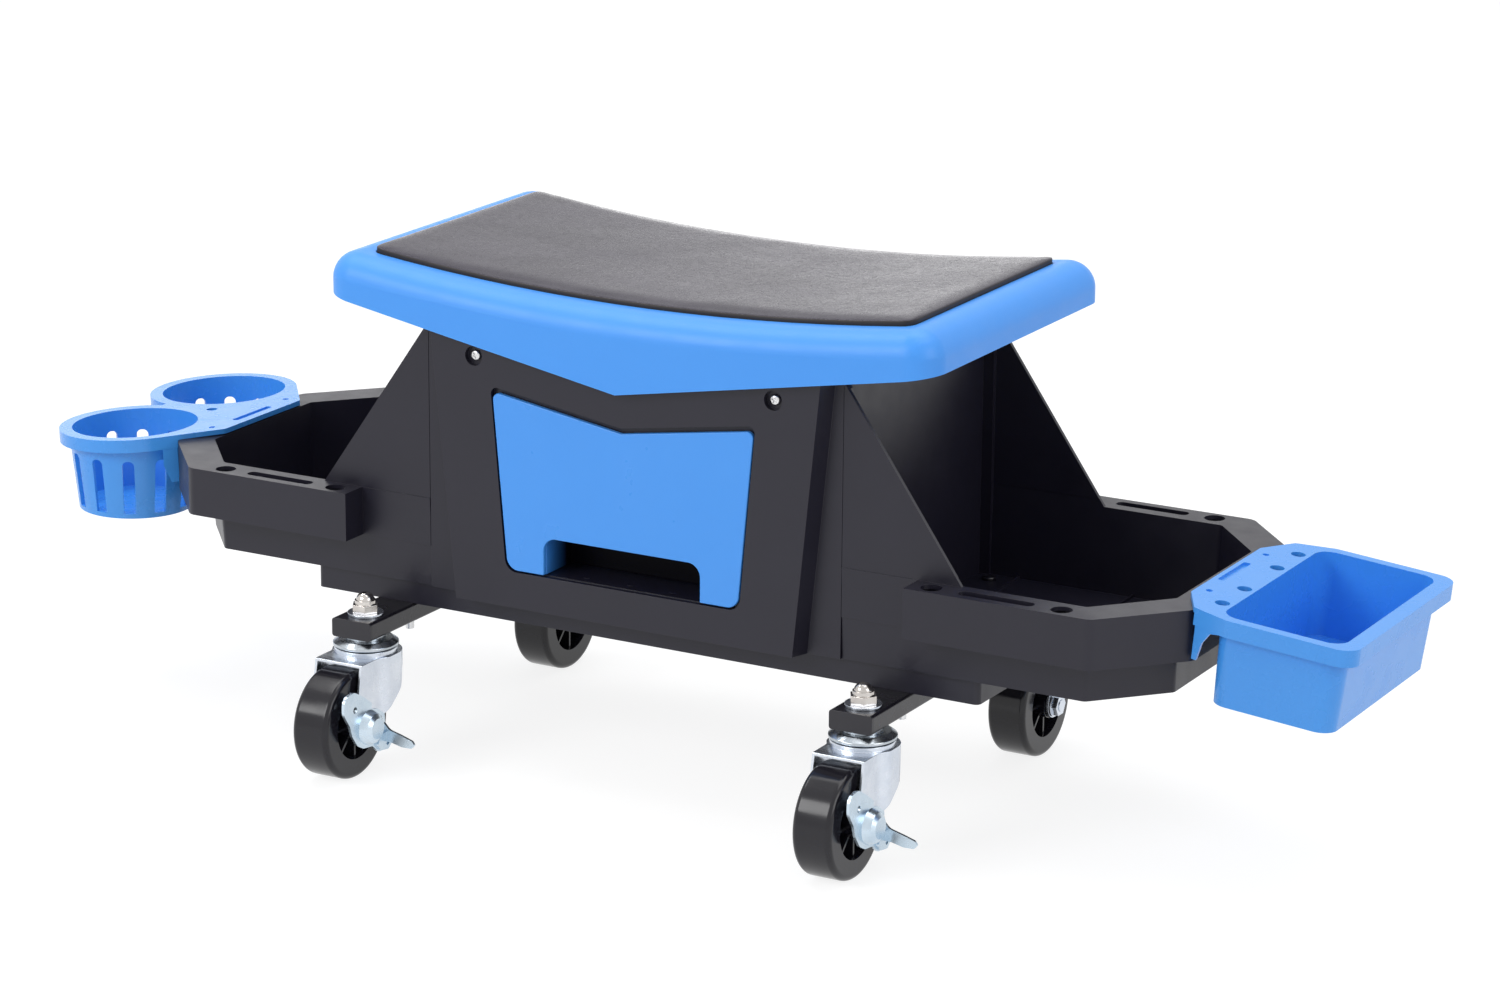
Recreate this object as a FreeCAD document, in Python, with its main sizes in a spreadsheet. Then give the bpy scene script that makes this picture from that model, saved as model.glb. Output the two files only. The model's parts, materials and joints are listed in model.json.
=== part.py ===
# Creeper seat: a rolling workshop stool with a padded saddle seat, a drawer under it,
# a tool tray at each end, a lift-off cup holder, a lift-off side bin and four swivel casters.
# +X points to the end with the side bin, -Y to the drawer side and +Z up, in millimetres.
import FreeCAD, Part
import collections
import math
import operator
import os
import Sketcher

SIZES = {
    # Seat shell and pad
    "seat_half_length": 229.0,
    "seat_half_width": 129.0,
    "seat_middle_depth": 54.2,
    "seat_end_lift": 40.3,
    "saddle_radius": 1650.0,
    "seat_wall": 3.0,
    "seat_deck": 4.0,
    "seat_corner": 22.0,
    "seat_edge": 18.0,
    "pad_half_length": 203.0,
    "pad_half_width": 105.0,
    "pad_corner": 7.0,
    "pad_edge": 2.2,
    "pad_recess": 2.5,
    "pad_proud": 4.0,
    "pad_crown": 1.6,
    # Gaps between pieces
    "seat_gap": 0.3,
    "run_gap": 0.5,
    "overrun": 5.0,
    # Central housing
    "seat_rise": 213.7,
    "housing_half_length": 157.0,
    "housing_half_depth": 108.0,
    "end_wall_inset": 7.5,
    "wall": 3.0,
    "panel_proud": 13.2,
    "panel_low_half": 128.7,
    "panel_high_half": 150.0,
    "panel_flank": 5.0,
    "floor_height": 25.6,
    "screw_across": 113.0,
    "screw_height": 169.5,
    "screw_recess_radius": 6.6,
    "screw_recess_depth": 4.0,
    "screw_boss_radius": 9.0,
    "screw_head_radius": 3.8,
    "screw_head_height": 2.6,
    "screw_radius": 2.2,
    "screw_clear": 0.4,
    "tab_thickness": 6.0,
    "tab_half_width": 9.0,
    # Drawer
    "drawer_low": 26.1,
    "drawer_high": 147.1,
    "drawer_point": 131.7,
    "drawer_top_half": 99.0,
    "drawer_bottom_half": 87.9,
    "drawer_top_corner": 4.5,
    "drawer_bottom_corner": 9.0,
    "drawer_gap": 1.2,
    "drawer_top_gap": 3.8,
    "drawer_plate": 4.0,
    "surround_lip": 4.0,
    "notch_half": 59.6,
    "notch_high": 52.0,
    "notch_corner": 9.0,
    "pocket_depth": 32.0,
    "box_half_width": 83.0,
    "box_depth": 212.0,
    "box_height": 96.0,
    "box_wall": 2.5,
    "box_corner": 6.0,
    "rail_wall": 2.5,
    "rail_lip": 6.0,
    # End trays
    "tray_depth": 62.1,
    "tray_half_depth": 106.0,
    "tray_end": 370.7,
    "tray_chamfer_length": 41.0,
    "tray_chamfer_depth": 46.0,
    "tray_flare": 2.5,
    "tray_corner": 5.0,
    "tray_rib_first": 182.0,
    "tray_rib_pitch": 85.0,
    "tray_rib_width": 1.6,
    "tray_rib_height": 1.8,
    "wing_foot": 243.0,
    "rim_height": 33.5,
    "rim_start": 212.0,
    "rim_half_depth": 129.0,
    "rim_end": 390.0,
    "rim_chamfer_length": 48.0,
    "rim_chamfer_depth": 53.0,
    "rim_corner": 10.0,
    "tool_hole_radius": 7.0,
    "tool_hole_near": 227.0,
    "tool_hole_far": 318.0,
    "tool_line": 118.5,
    "tool_slot_start": 246.4,
    "tool_slot_end": 299.0,
    "tool_slot_width": 8.4,
    "tray_screw_along": 166.0,
    "tray_screw_across": 90.0,
    "tray_screw_head": 4.5,
    "tray_screw_length": 14.0,
    # Lift-off pieces on the tray rims
    "plate_thickness": 3.5,
    "peg_radius": 3.0,
    "peg_length": 7.0,
    "peg_clear": 1.2,
    "peg_inset": 8.5,
    "peg_across": 30.0,
    "bin_tilt": 5.2,
    "bin_inner": 12.7,
    "bin_inner_half": 55.2,
    "bin_waist": 1.0,
    "bin_waist_half": 81.3,
    "bin_shoulder": 26.7,
    "bin_half_width": 90.0,
    "bin_reach": 111.7,
    "bin_corner": 13.0,
    "bin_mouth_start": 19.0,
    "bin_mouth_end": 101.0,
    "bin_mouth_half": 82.5,
    "bin_mouth_corner": 12.0,
    "bin_depth": 56.0,
    "bin_draft": 3.0,
    "bin_wall": 2.5,
    "bin_skirt": 7.8,
    "bin_hole_radius": 4.8,
    "bin_hole_along": 11.5,
    "bin_hole_near": 26.4,
    "bin_hole_far": 61.3,
    "holder_tilt": 3.0,
    "holder_inner": 20.0,
    "holder_inner_half": 46.0,
    "cup_along": 53.7,
    "cup_across": 54.1,
    "cup_rim_radius": 53.5,
    "cup_mouth_radius": 45.5,
    "cup_foot_radius": 41.0,
    "cup_depth": 56.0,
    "cup_wall": 2.2,
    "cup_skirt": 5.7,
    "cup_slot_width": 8.5,
    "cup_slot_top": 13.0,
    "cup_slot_foot": 3.4,
    "holder_hole_radius": 4.0,
    "holder_hole_along": 25.0,
    "web_reach": 68.0,
    "mark_slot_half": 22.0,
    "mark_slot_width": 5.0,
    "bin_slot_inset": 3.2,
    "holder_slot_inset": 7.0,
    "mark_hole_radius": 2.2,
    "mark_hole_across": 45.4,
    "mark_depth": 1.8,
    "gusset_drop": 30.0,
    "gusset_foot": 3.5,
    "gusset_length": 19.0,
    # Base frame and cross tubes
    "base_height": 16.7,
    "base_half_length": 254.0,
    "base_half_depth": 102.0,
    "base_corner": 4.0,
    "base_rib": 2.5,
    "base_bolt_across": 85.0,
    "base_boss_radius": 9.0,
    "tube_height": 13.0,
    "tube_width": 31.0,
    "tube_half_length": 156.5,
    "tube_wall": 1.5,
    "tube_corner": 2.0,
    "plug_head": 2.0,
    "plug_depth": 14.0,
    "bolt_radius": 3.0,
    "bolt_clear": 0.2,
    "bolt_head_radius": 5.6,
    "bolt_head_height": 2.6,
    "bolt_tail": 6.5,
    "bolt_nut_across": 10.0,
    "bolt_nut_height": 5.0,
    # Casters
    "stem_along": 190.4,
    "stem_across": 138.8,
    "stem_radius": 5.0,
    "stem_clear": 0.1,
    "stem_head_radius": 9.0,
    "stem_head_height": 4.5,
    "stem_top": 8.0,
    "washer_radius": 12.2,
    "washer_thickness": 2.0,
    "acorn_across": 16.5,
    "acorn_hex_height": 5.8,
    "acorn_collar_radius": 7.2,
    "acorn_collar_height": 8.6,
    "acorn_dome_radius": 6.4,
    "acorn_height": 13.8,
    "swivel_height": 11.7,
    "race_radius": 22.5,
    "race_inner": 15.0,
    "race_height": 3.2,
    "collar_radius": 13.5,
    "collar_height": 2.8,
    "trail": 32.4,
    "fork_rise": 42.5,
    "fork_half_width": 18.8,
    "fork_sheet": 2.0,
    "fork_front": 33.3,
    "fork_back": 23.6,
    "fork_bend": 20.0,
    "fork_flare": 4.4,
    "fork_flare_start": 14.0,
    "fork_flare_end": 6.0,
    "fork_flare_corner": 9.0,
    "fork_leg_back": 9.0,
    "fork_toe_front": 10.1,
    "fork_toe_back": 7.1,
    "fork_toe_drop": 9.5,
    "fork_heel_rise": 17.5,
    "fork_skirt": 12.0,
    "axle_radius": 4.0,
    "axle_clear": 0.15,
    "axle_head_height": 5.0,
    "axle_nut_across": 13.0,
    "axle_nut_height": 4.0,
    "axle_flange_radius": 8.4,
    "axle_flange_height": 1.5,
    "axle_tail": 0.6,
    "sleeve_radius": 6.0,
    "wheel_radius": 37.5,
    "wheel_half_width": 14.0,
    "wheel_shoulder": 4.0,
    "hub_radius": 9.8,
    "hub_half_length": 16.2,
    "hub_recess_radius": 23.5,
    "hub_web": 3.0,
    "spoke_width": 1.8,
    "spoke_half_length": 11.5,
    # Side brakes on the front casters
    "lever_gap": 2.5,
    "lever_sheet": 2.0,
    "lever_dome_radius": 12.0,
    "lever_dome_inner": 8.5,
    "lever_dome_height": 7.4,
    "lever_reach": 26.5,
    "lever_pedal_width": 24.0,
    "lever_petal": 26.5,
    "lever_fold": 19.4,
    "lever_hole_radius": 2.2,
}

CUP_SLOTS = 12
SPOKES = 8
FULL_TURN = 360
# How far the slanted edge of a wing moves inward for each millimetre that it climbs.
WING_LEAN_SHARE = 0.7
# The corner radius that rounds off a slot's ends, as a share of its width.
SLOT_END_SHARE = 0.46
# Corner directions of a hexagon, as shares of its corner radius.
HEXAGON_SHARES = ((1, 0), (0.5, 0.8660254), (-0.5, 0.8660254), (-1, 0), (-0.5, -0.8660254),
                  (0.5, -0.8660254))
HEXAGON_CORNER_SHARE = 0.5773503
# Where the straight flank of the cup holder touches a cup's rim, as shares of the rim radius.
FLANK_TOUCH_SHARES = (0.802, 0.597)
# Outline of the brake lever's leaf about the axle, as shares of the petal height.
LEAF_SHARES = (
    (-1.08, 1.06, 0.25), (-0.62, 1.10, 0.25), (-0.20, 0.86, 0.30), (0.16, 0.60, 0.06), (0.14, 0.44, 0.06),
    (0.40, 0.38, 0.10), (0.72, 0.16, 0.10), (0.74, -0.30, 0.05), (0.94, -0.52, 0.08), (0.94, -0.66, 0.08),
    (0.78, -0.81, 0.10), (0.42, -0.78, 0.15), (0.14, -0.55, 0.10), (-0.26, -0.50, 0.20),
    (-0.52, -0.36, 0.20),
    (-0.74, -0.06, 0.20), (-0.84, 0.24, 0.20), (-1.10, 0.62, 0.30),
)
# Outline of the pedal: outward reach and height shares, then the corner radius share of the width.
PEDAL_SHARES = (
    (0, 0.16, 0), (0.06, -0.06, 0.30), (0.24, -0.27, 0.30), (0.60, -0.37, 0.30), (0.93, -0.48, 0.10),
    (1.0, -0.59, 0.04), (0.92, -0.70, 0.08), (0.62, -0.71, 0.20), (0.30, -0.63, 0.20), (0, -0.62, 0),
)
# Outline of the spring clip folded on the leaf, and of the slot in it, as shares of the leaf's size.
CLIP_SHARES = (
    (0.40, -0.34, 0.06), (0.64, -0.30, 0.06), (0.94, -0.54, 0.06), (0.92, -0.66, 0.06),
    (0.76, -0.79, 0.06),
    (0.44, -0.74, 0.06), (0.30, -0.58, 0.06),
)
CLIP_SLOT_SHARES = ((0.66, -0.62, 0), (0.82, -0.52, 0), (0.88, -0.59, 0), (0.72, -0.69, 0))

doc = FreeCAD.newDocument("creeper_seat")
sheet = doc.addObject("Spreadsheet::Sheet", "sizes")
parts = []


class Size:
    """A length or an angle, with the sheet formula that gives it."""

    def __init__(self, value, formula):
        self.value = value
        self.formula = formula

    def __float__(self):
        return float(self.value)

    def __neg__(self):
        return combine(0, "-", self)

    def __add__(self, other):
        return combine(self, "+", other)

    def __radd__(self, other):
        return combine(other, "+", self)

    def __sub__(self, other):
        return combine(self, "-", other)

    def __rsub__(self, other):
        return combine(other, "-", self)

    def __mul__(self, other):
        return combine(self, "*", other)

    def __rmul__(self, other):
        return combine(other, "*", self)

    def __truediv__(self, other):
        return combine(self, "/", other)


OPERATIONS = {"+": operator.add, "-": operator.sub, "*": operator.mul, "/": operator.truediv}
Round = collections.namedtuple("Round", "across up radius")


def value_of(item):
    return item.value if isinstance(item, Size) else item


def formula_of(item):
    return item.formula if isinstance(item, Size) else repr(item)


def combine(first, sign, second):
    value = OPERATIONS[sign](value_of(first), value_of(second))
    return Size(value, f"({formula_of(first)} {sign} {formula_of(second)})")


def root(size):
    return Size(math.sqrt(size.value), f"sqrt({size.formula})")


def cosine(angle):
    return Size(math.cos(math.radians(angle.value)), f"cos({angle.formula})")


def sine(angle):
    return Size(math.sin(math.radians(angle.value)), f"sin({angle.formula})")


def fill_sheet():
    """Writes every driving dimension to the sheet and returns them by name."""
    sizes = {}
    for row, (name, value) in enumerate(SIZES.items(), 1):
        sheet.set(f"A{row}", name)
        sheet.set(f"B{row}", str(value))
        sheet.setAlias(f"B{row}", name)
        sizes[name] = Size(value, f"sizes.{name}")
    doc.recompute()
    return collections.namedtuple("Sizes", sizes)(**sizes)


S = fill_sheet()

# Heights of the main levels above the floor, from the wheels up.
axle_height = S.wheel_radius
fork_top = axle_height + S.fork_rise
tube_bottom = fork_top + S.swivel_height
base_bottom = tube_bottom + S.tube_height
body_bottom = base_bottom + S.base_height
rim_top = body_bottom + S.tray_depth
seat_top = body_bottom + S.seat_rise

# The frame's origin is the middle of the footprint, and the housing stands off it by these.
bin_end = S.rim_end + S.bin_reach * cosine(S.bin_tilt) + S.plate_thickness * sine(S.bin_tilt)
holder_length = S.cup_along + S.cup_rim_radius
holder_end = S.rim_end + holder_length * cosine(S.holder_tilt) + S.plate_thickness * sine(S.holder_tilt)
middle_x = (holder_end - bin_end) / 2
middle_y = (S.trail + S.wheel_radius - S.fork_back) / 2


def bind(item, path, size):
    """Ties a property to its sheet formula."""
    item.setExpression(path, formula_of(size))


def corner_geometry(before, corner, after, radius):
    """The two ends, the centre and the turning sense of a rounded corner."""
    back = (before - corner).normalize()
    ahead = (after - corner).normalize()
    half_angle = back.getAngle(ahead) / 2
    reach = radius / math.tan(half_angle)
    centre = corner + (back + ahead).normalize() * (radius / math.sin(half_angle))
    turn_left = (corner - before).cross(after - corner).z > 0
    return corner + back * reach, corner + ahead * reach, centre, turn_left


def arc_between(first, last, centre, radius):
    """A counter-clockwise arc of a circle."""
    angles = []
    for point in (first, last):
        offset = point - centre
        angles.append(math.atan2(offset.y, offset.x))
    if angles[1] < angles[0]:
        angles[1] += math.tau
    circle = Part.Circle(centre, FreeCAD.Vector(0, 0, 1), radius)
    return Part.ArcOfCircle(circle, angles[0], angles[1])


def hold_point(sketch, item, end, across, up):
    """Fixes a point of the sketch at its two sheet distances from the origin."""
    for kind, size in (("DistanceX", across), ("DistanceY", up)):
        number = sketch.addConstraint(Sketcher.Constraint(kind, -1, 1, item, end, float(value_of(size))))
        if isinstance(size, Size):
            bind(sketch, f"Constraints[{number}]", size)


def hold_radius(sketch, item, radius):
    number = sketch.addConstraint(Sketcher.Constraint("Radius", item, float(radius)))
    bind(sketch, f"Constraints[{number}]", radius)


def draw_circle(sketch, circle):
    centre = FreeCAD.Vector(float(value_of(circle.across)), float(value_of(circle.up)), 0)
    item = sketch.addGeometry(Part.Circle(centre, FreeCAD.Vector(0, 0, 1), float(circle.radius)), False)
    hold_point(sketch, item, 3, circle.across, circle.up)
    hold_radius(sketch, item, circle.radius)


def draw_polygon(sketch, corners):
    """A closed outline of straight sides whose corners may be rounded by a third value."""
    points = [FreeCAD.Vector(float(value_of(c[0])), float(value_of(c[1])), 0) for c in corners]
    count = len(points)
    leave = list(points)
    reach = list(points)
    rounds = {}
    for place, corner in enumerate(corners):
        if len(corner) > 2 and value_of(corner[2]) > 0:
            before = points[place - 1]
            after = points[(place + 1) % count]
            radius = float(value_of(corner[2]))
            reach[place], leave[place], centre, left = corner_geometry(before, points[place], after,
                radius)
            rounds[place] = (centre, left, corner[2])
    sides = []
    for place in range(count):
        line = Part.LineSegment(leave[place], reach[(place + 1) % count])
        sides.append(sketch.addGeometry(line, False))
    for place, corner in enumerate(corners):
        side_in = sides[place - 1]
        side_out = sides[place]
        if place not in rounds:
            sketch.addConstraint(Sketcher.Constraint("Coincident", side_in, 2, side_out, 1))
            hold_point(sketch, side_out, 1, corner[0], corner[1])
            continue
        centre, left, radius = rounds[place]
        first, last = (reach[place], leave[place]) if left else (leave[place], reach[place])
        arc = sketch.addGeometry(arc_between(first, last, centre, float(radius)), False)
        mark = sketch.addGeometry(Part.Point(points[place]), True)
        hold_point(sketch, mark, 1, corner[0], corner[1])
        sketch.addConstraint(Sketcher.Constraint("PointOnObject", mark, 1, side_in))
        sketch.addConstraint(Sketcher.Constraint("PointOnObject", mark, 1, side_out))
        sketch.addConstraint(Sketcher.Constraint("Tangent", side_in, 2, arc, 1 if left else 2))
        sketch.addConstraint(Sketcher.Constraint("Tangent", arc, 2 if left else 1, side_out, 1))
        hold_radius(sketch, arc, radius)


class Piece:
    """A body made of outlines on its own planes, swept along the plane's normal.

    A place along the normal grows upward for plane XY, towards the drawer side for XZ and
    towards the side bin for YZ.
    """

    def __init__(self, name):
        self.body = doc.addObject("PartDesign::Body", name)
        self.body.Label = name

    def sketch(self, plane, start, outlines):
        sketch = self.body.newObject("Sketcher::SketchObject", self.body.Name + "_sketch")
        support = [item for item in self.body.Origin.OriginFeatures if item.Role == plane + "_Plane"]
        sketch.AttachmentSupport = [(support[0], "")]
        sketch.MapMode = "FlatFace"
        bind(sketch, ".AttachmentOffset.Base.z", start)
        for outline in outlines:
            if isinstance(outline, Round):
                draw_circle(sketch, outline)
            else:
                draw_polygon(sketch, outline)
        return sketch

    def feature(self, kind, sketch):
        feature = self.body.newObject("PartDesign::" + kind, self.body.Name + "_" + kind.lower())
        feature.Profile = sketch
        return feature

    def add(self, plane, start, length, *outlines):
        pad = self.feature("Pad", self.sketch(plane, start, outlines))
        bind(pad, "Length", length)
        return pad

    def cut(self, plane, start, length, *outlines):
        pocket = self.feature("Pocket", self.sketch(plane, start, outlines))
        pocket.Reversed = True
        bind(pocket, "Length", length)
        return pocket

    def loft(self, kind, plane, first_start, first, second_start, second):
        base = self.sketch(plane, first_start, [first])
        end = self.sketch(plane, second_start, [second])
        loft = self.feature(kind, base)
        loft.Sections = [(end, [""])]
        loft.Ruled = True
        return loft

    def turn(self, kind, plane, axis, *outlines):
        """Revolves outlines about one of the body's own axes."""
        turned = self.feature(kind, self.sketch(plane, 0, outlines))
        turned.ReferenceAxis = (self.axis(axis), [""])
        turned.Angle = FULL_TURN
        return turned

    def axis(self, name):
        return [item for item in self.body.Origin.OriginFeatures if item.Role == name + "_Axis"][0]

    def repeat(self, feature, axis, count):
        pattern = self.body.newObject("PartDesign::PolarPattern", self.body.Name + "_pattern")
        pattern.Originals = [feature]
        pattern.Axis = (self.axis(axis), [""])
        pattern.Angle = FULL_TURN
        pattern.Occurrences = count
        self.body.Tip = pattern

    def fillet(self, radius, wanted):
        """Rounds the edges that the test picks."""
        doc.recompute()
        tip = self.body.Tip
        names = [f"Edge{n}" for n, edge in enumerate(tip.Shape.Edges, 1) if wanted(edge)]
        if not names:
            raise RuntimeError("no edge to round on " + self.body.Label)
        fillet = self.body.newObject("PartDesign::Fillet", self.body.Name + "_fillet")
        fillet.Base = (tip, names)
        bind(fillet, "Radius", radius)


def shape_object(item):
    return item.body if isinstance(item, Piece) else item


def join(kind, name, items):
    """A boolean of objects: Fuse and Common take a list, Cut takes a base and its tools."""
    objects = [shape_object(item) for item in items]
    if kind == "Cut":
        result = doc.addObject("Part::Cut", name)
        result.Base = objects[0]
        result.Tool = objects[1] if len(objects) == 2 else join("Fuse", name + "_tools", objects[1:])
    else:
        result = doc.addObject("Part::Multi" + kind, name)
        result.Shapes = objects
    result.Label = name
    return result


def cylinder_along_y(name, radius, half_length, height):
    """A cylinder about an axis along Y at a height over the local origin."""
    cylinder = doc.addObject("Part::Cylinder", name)
    cylinder.Placement.Rotation = FreeCAD.Rotation(FreeCAD.Vector(1, 0, 0), 90)
    bind(cylinder, "Radius", radius)
    bind(cylinder, "Height", half_length * 2)
    bind(cylinder, "Placement.Base.y", half_length)
    bind(cylinder, "Placement.Base.z", height)
    return cylinder


def move(item, x, y, z):
    """Binds an object's place."""
    target = shape_object(item)
    for path, size in (("x", x), ("y", y), ("z", z)):
        bind(target, "Placement.Base." + path, size)
    return target


def tilt(item, angle):
    """Turns an object about its own Y axis, outer end down."""
    target = shape_object(item)
    target.Placement.Rotation = FreeCAD.Rotation(FreeCAD.Vector(0, 1, 0), angle.value)
    bind(target, "Placement.Rotation.Angle", angle)


def keep(item, name, x, y, z):
    """Names a finished part, places it from the footprint's middle and lists it for export."""
    target = move(item, x + middle_x, y + middle_y, z)
    target.Label = name
    parts.append(target)
    return target


def mirror(item, name, x, y):
    mirrored = doc.addObject("Part::Mirroring", name)
    mirrored.Source = shape_object(item)
    mirrored.Normal = FreeCAD.Vector(x, y, 0)
    return mirrored


def group(name, items):
    compound = doc.addObject("Part::Compound", name)
    compound.Links = [shape_object(item) for item in items]
    return compound


def four_corners(item, name):
    """The piece and its mirror images in the other three quarters."""
    pair = group(name + "_pair", [item, mirror(item, name + "_left", 1, 0)])
    return group(name, [pair, mirror(pair, name + "_back", 0, 1)])


def both_sides(half):
    """Closes an outline with the mirror image of its half."""
    other = [(-corner[0],) + tuple(corner[1:]) for corner in reversed(half) if value_of(corner[0]) != 0]
    return list(half) + other


def both_rows(half):
    """Closes an outline with the mirror image of its drawer-side half."""
    other = [(corner[0], -corner[1]) + tuple(corner[2:]) for corner in reversed(half)
             if value_of(corner[1]) != 0]
    return list(half) + other


def rectangle(half_x, half_y, corner=0):
    return both_sides([(half_x, -half_y, corner), (half_x, half_y, corner)])


def span(low_x, high_x, low_y, high_y, corner=0):
    return [(low_x, low_y, corner), (high_x, low_y, corner), (high_x, high_y, corner),
            (low_x, high_y, corner)]


def hexagon(across):
    corner = across * HEXAGON_CORNER_SHARE
    return [(corner * u, corner * v) for u, v in HEXAGON_SHARES]


def near(first, second):
    return abs(float(first) - float(second)) < 1e-3


def saddle_distance(edge, height):
    """How far the middle of an edge is from the saddle's axis, and whether its ends agree."""
    places = [edge.valueAt(edge.FirstParameter + (edge.LastParameter - edge.FirstParameter) * part / 2)
              for part in range(3)]
    return [math.hypot(p.x, p.z - float(height)) for p in places]


def saddle_sag(along):
    """How far the saddle has risen at a distance from mid length."""
    return S.saddle_radius - root(S.saddle_radius * S.saddle_radius - along * along)


# Seat shell: local height zero is the top of the shell at mid length.

def seat_prism(name, length, width, corner, edge, radius, low):
    """A block with rounded corners, a V-shaped underside and a saddle-shaped top."""
    block = Piece(name)
    block.add("XY", low, length / 4 - low, rectangle(length, width, corner))
    reach = S.overrun * 2
    across = width + S.overrun
    slope = S.seat_end_lift / S.seat_half_length
    under = low - S.overrun
    past = length + reach
    underside = both_sides([(0, low), (past, low + past * slope), (past, under), (0, under)])
    block.cut("XZ", -across, across * 2, underside)
    block.cut("XZ", -across, across * 2, Round(0, S.saddle_radius, radius))
    block.fillet(edge, lambda e: all(near(d, radius) for d in saddle_distance(e, S.saddle_radius)))
    return block


def pad_prism(name, margin):
    """The pad's outline carried well above and below the saddle."""
    prism = Piece(name)
    outline = rectangle(S.pad_half_length + margin, S.pad_half_width + margin, S.pad_corner + margin)
    prism.add("XY", -S.seat_middle_depth, S.seat_middle_depth * 2, outline)
    return prism


def seat_tab(side):
    """A lug under the shell that takes two of the seat screws."""
    top = saddle_sag(S.screw_across) - S.seat_deck / 2
    low = S.screw_height - S.seat_rise - S.tab_half_width
    face = S.housing_half_depth + S.panel_proud - S.screw_recess_depth - S.wall - S.seat_gap
    start = face - S.tab_thickness if side > 0 else -face
    for across in (S.screw_across, -S.screw_across):
        tab_outline = span(across - S.tab_half_width, across + S.tab_half_width, low, top)
        piece = Piece("seat_tab")
        piece.add("XZ", start, S.tab_thickness, tab_outline)
        hole = Round(across, S.screw_height - S.seat_rise, S.screw_radius + S.screw_clear / 2)
        piece.cut("XZ", start - S.overrun, S.tab_thickness + S.overrun * 2, hole)
        yield piece


def make_seat_shell():
    outer = seat_prism("seat_outer", S.seat_half_length, S.seat_half_width, S.seat_corner, S.seat_edge,
                       S.saddle_radius, -S.seat_middle_depth)
    hollow = seat_prism("seat_hollow", S.seat_half_length - S.seat_wall, S.seat_half_width - S.seat_wall,
                        S.seat_corner - S.seat_wall, S.seat_edge - S.seat_wall * 2,
                        S.saddle_radius + S.seat_deck, -S.seat_middle_depth - S.seat_middle_depth)
    recess_floor = cylinder_along_y("recess_floor", S.saddle_radius + S.pad_recess, S.seat_half_width,
                                    S.saddle_radius)
    recess = join("Common", "seat_recess", [pad_prism("recess_outline", S.seat_gap), recess_floor])
    shell = join("Cut", "seat_hollowed", [outer, hollow, recess])
    tabs = list(seat_tab(1)) + list(seat_tab(-1))
    keep(join("Fuse", "seat_shell", [shell] + tabs), "seat_shell", 0, 0, seat_top)


def make_seat_pad():
    """A thin pad: its top is crowned across and follows the saddle along."""
    half = S.pad_half_width.value
    low = -S.pad_recess.value + S.seat_gap.value / 2
    side = S.pad_proud.value
    crown = S.pad_crown.value
    axis_height = S.saddle_radius.value
    corners = [FreeCAD.Vector(0, -half * 1.02, low), FreeCAD.Vector(0, half * 1.02, low),
               FreeCAD.Vector(0, half * 1.02, side), FreeCAD.Vector(0, -half * 1.02, side)]
    top = Part.Arc(corners[2], FreeCAD.Vector(0, 0, side + crown), corners[3]).toShape()
    edges = [Part.makeLine(corners[0], corners[1]), Part.makeLine(corners[1], corners[2]), top,
             Part.makeLine(corners[3], corners[0])]
    section = Part.Face(Part.Wire(edges))
    swing = math.degrees(S.pad_half_length.value / axis_height) * 1.05
    pivot = FreeCAD.Vector(0, 0, axis_height)
    across = FreeCAD.Vector(0, 1, 0)
    section.rotate(pivot, across, -swing)
    blank = section.revolve(pivot, across, swing * 2)
    outline = pad_prism("pad_outline", S.seat_gap * 0)
    doc.recompute()
    shape = blank.common(outline.body.Shape)
    rim = [edge for edge in shape.Edges if min(p.z for p in edge.discretize(3)) > low + side / 2
           and not is_level_change(edge)]
    pad = doc.addObject("Part::Feature", "seat_pad")
    pad.Shape = shape.makeFillet(S.pad_edge.value, rim).Solids[0]
    keep(pad, "seat_pad", 0, 0, seat_top)


def is_level_change(edge):
    """Tests for one of the short upright edges between the pad's faces."""
    ends = [vertex.Point for vertex in edge.Vertexes]
    return abs(ends[0].x - ends[-1].x) < 1e-6 and abs(ends[0].y - ends[-1].y) < 1e-6


def make_seat_screws():
    """Pan-head screws: their axes run across the seat."""
    screw = Piece("seat_screw")
    seat = S.housing_half_depth + S.panel_proud - S.screw_recess_depth
    head = Round(S.screw_across, S.screw_height, S.screw_head_radius)
    shank = Round(S.screw_across, S.screw_height, S.screw_radius)
    length = S.wall + S.tab_thickness + S.seat_gap * 2
    screw.add("XZ", seat + S.seat_gap / 3, S.screw_head_height, head)
    screw.add("XZ", seat - length, length + S.seat_gap, shank)
    screw.fillet(S.screw_head_height / 2,
                 lambda e: near(e.BoundBox.YMin, -(seat + S.seat_gap / 3 + S.screw_head_height)))
    keep(four_corners(screw, "seat_screws"), "seat_screws", 0, 0, body_bottom)


# Housing and drawer: local height zero is the bottom of the body.

def panel_outline(height, inset, low):
    """The proud panel: a trapezoid that widens towards the seat."""
    spread = (S.panel_high_half - S.panel_low_half) / S.seat_rise
    return both_sides([(S.panel_low_half + spread * low - inset, low),
                       (S.panel_low_half + spread * height - inset, height)])


def drawer_recess(grow):
    """The drawer front's outline with its wider gap above, grown by a wall."""
    beside = S.drawer_gap + grow
    above = S.drawer_top_gap + grow
    return both_sides([
        (S.drawer_bottom_half + beside, S.drawer_low - beside, S.drawer_bottom_corner),
        (S.drawer_top_half + beside, S.drawer_high + above, S.drawer_top_corner),
        (0, S.drawer_point + above),
    ])


def screw_circles(radius):
    """One circle about each of a panel's two seat screws."""
    return [Round(across, S.screw_height, radius) for across in (S.screw_across, -S.screw_across)]


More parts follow.
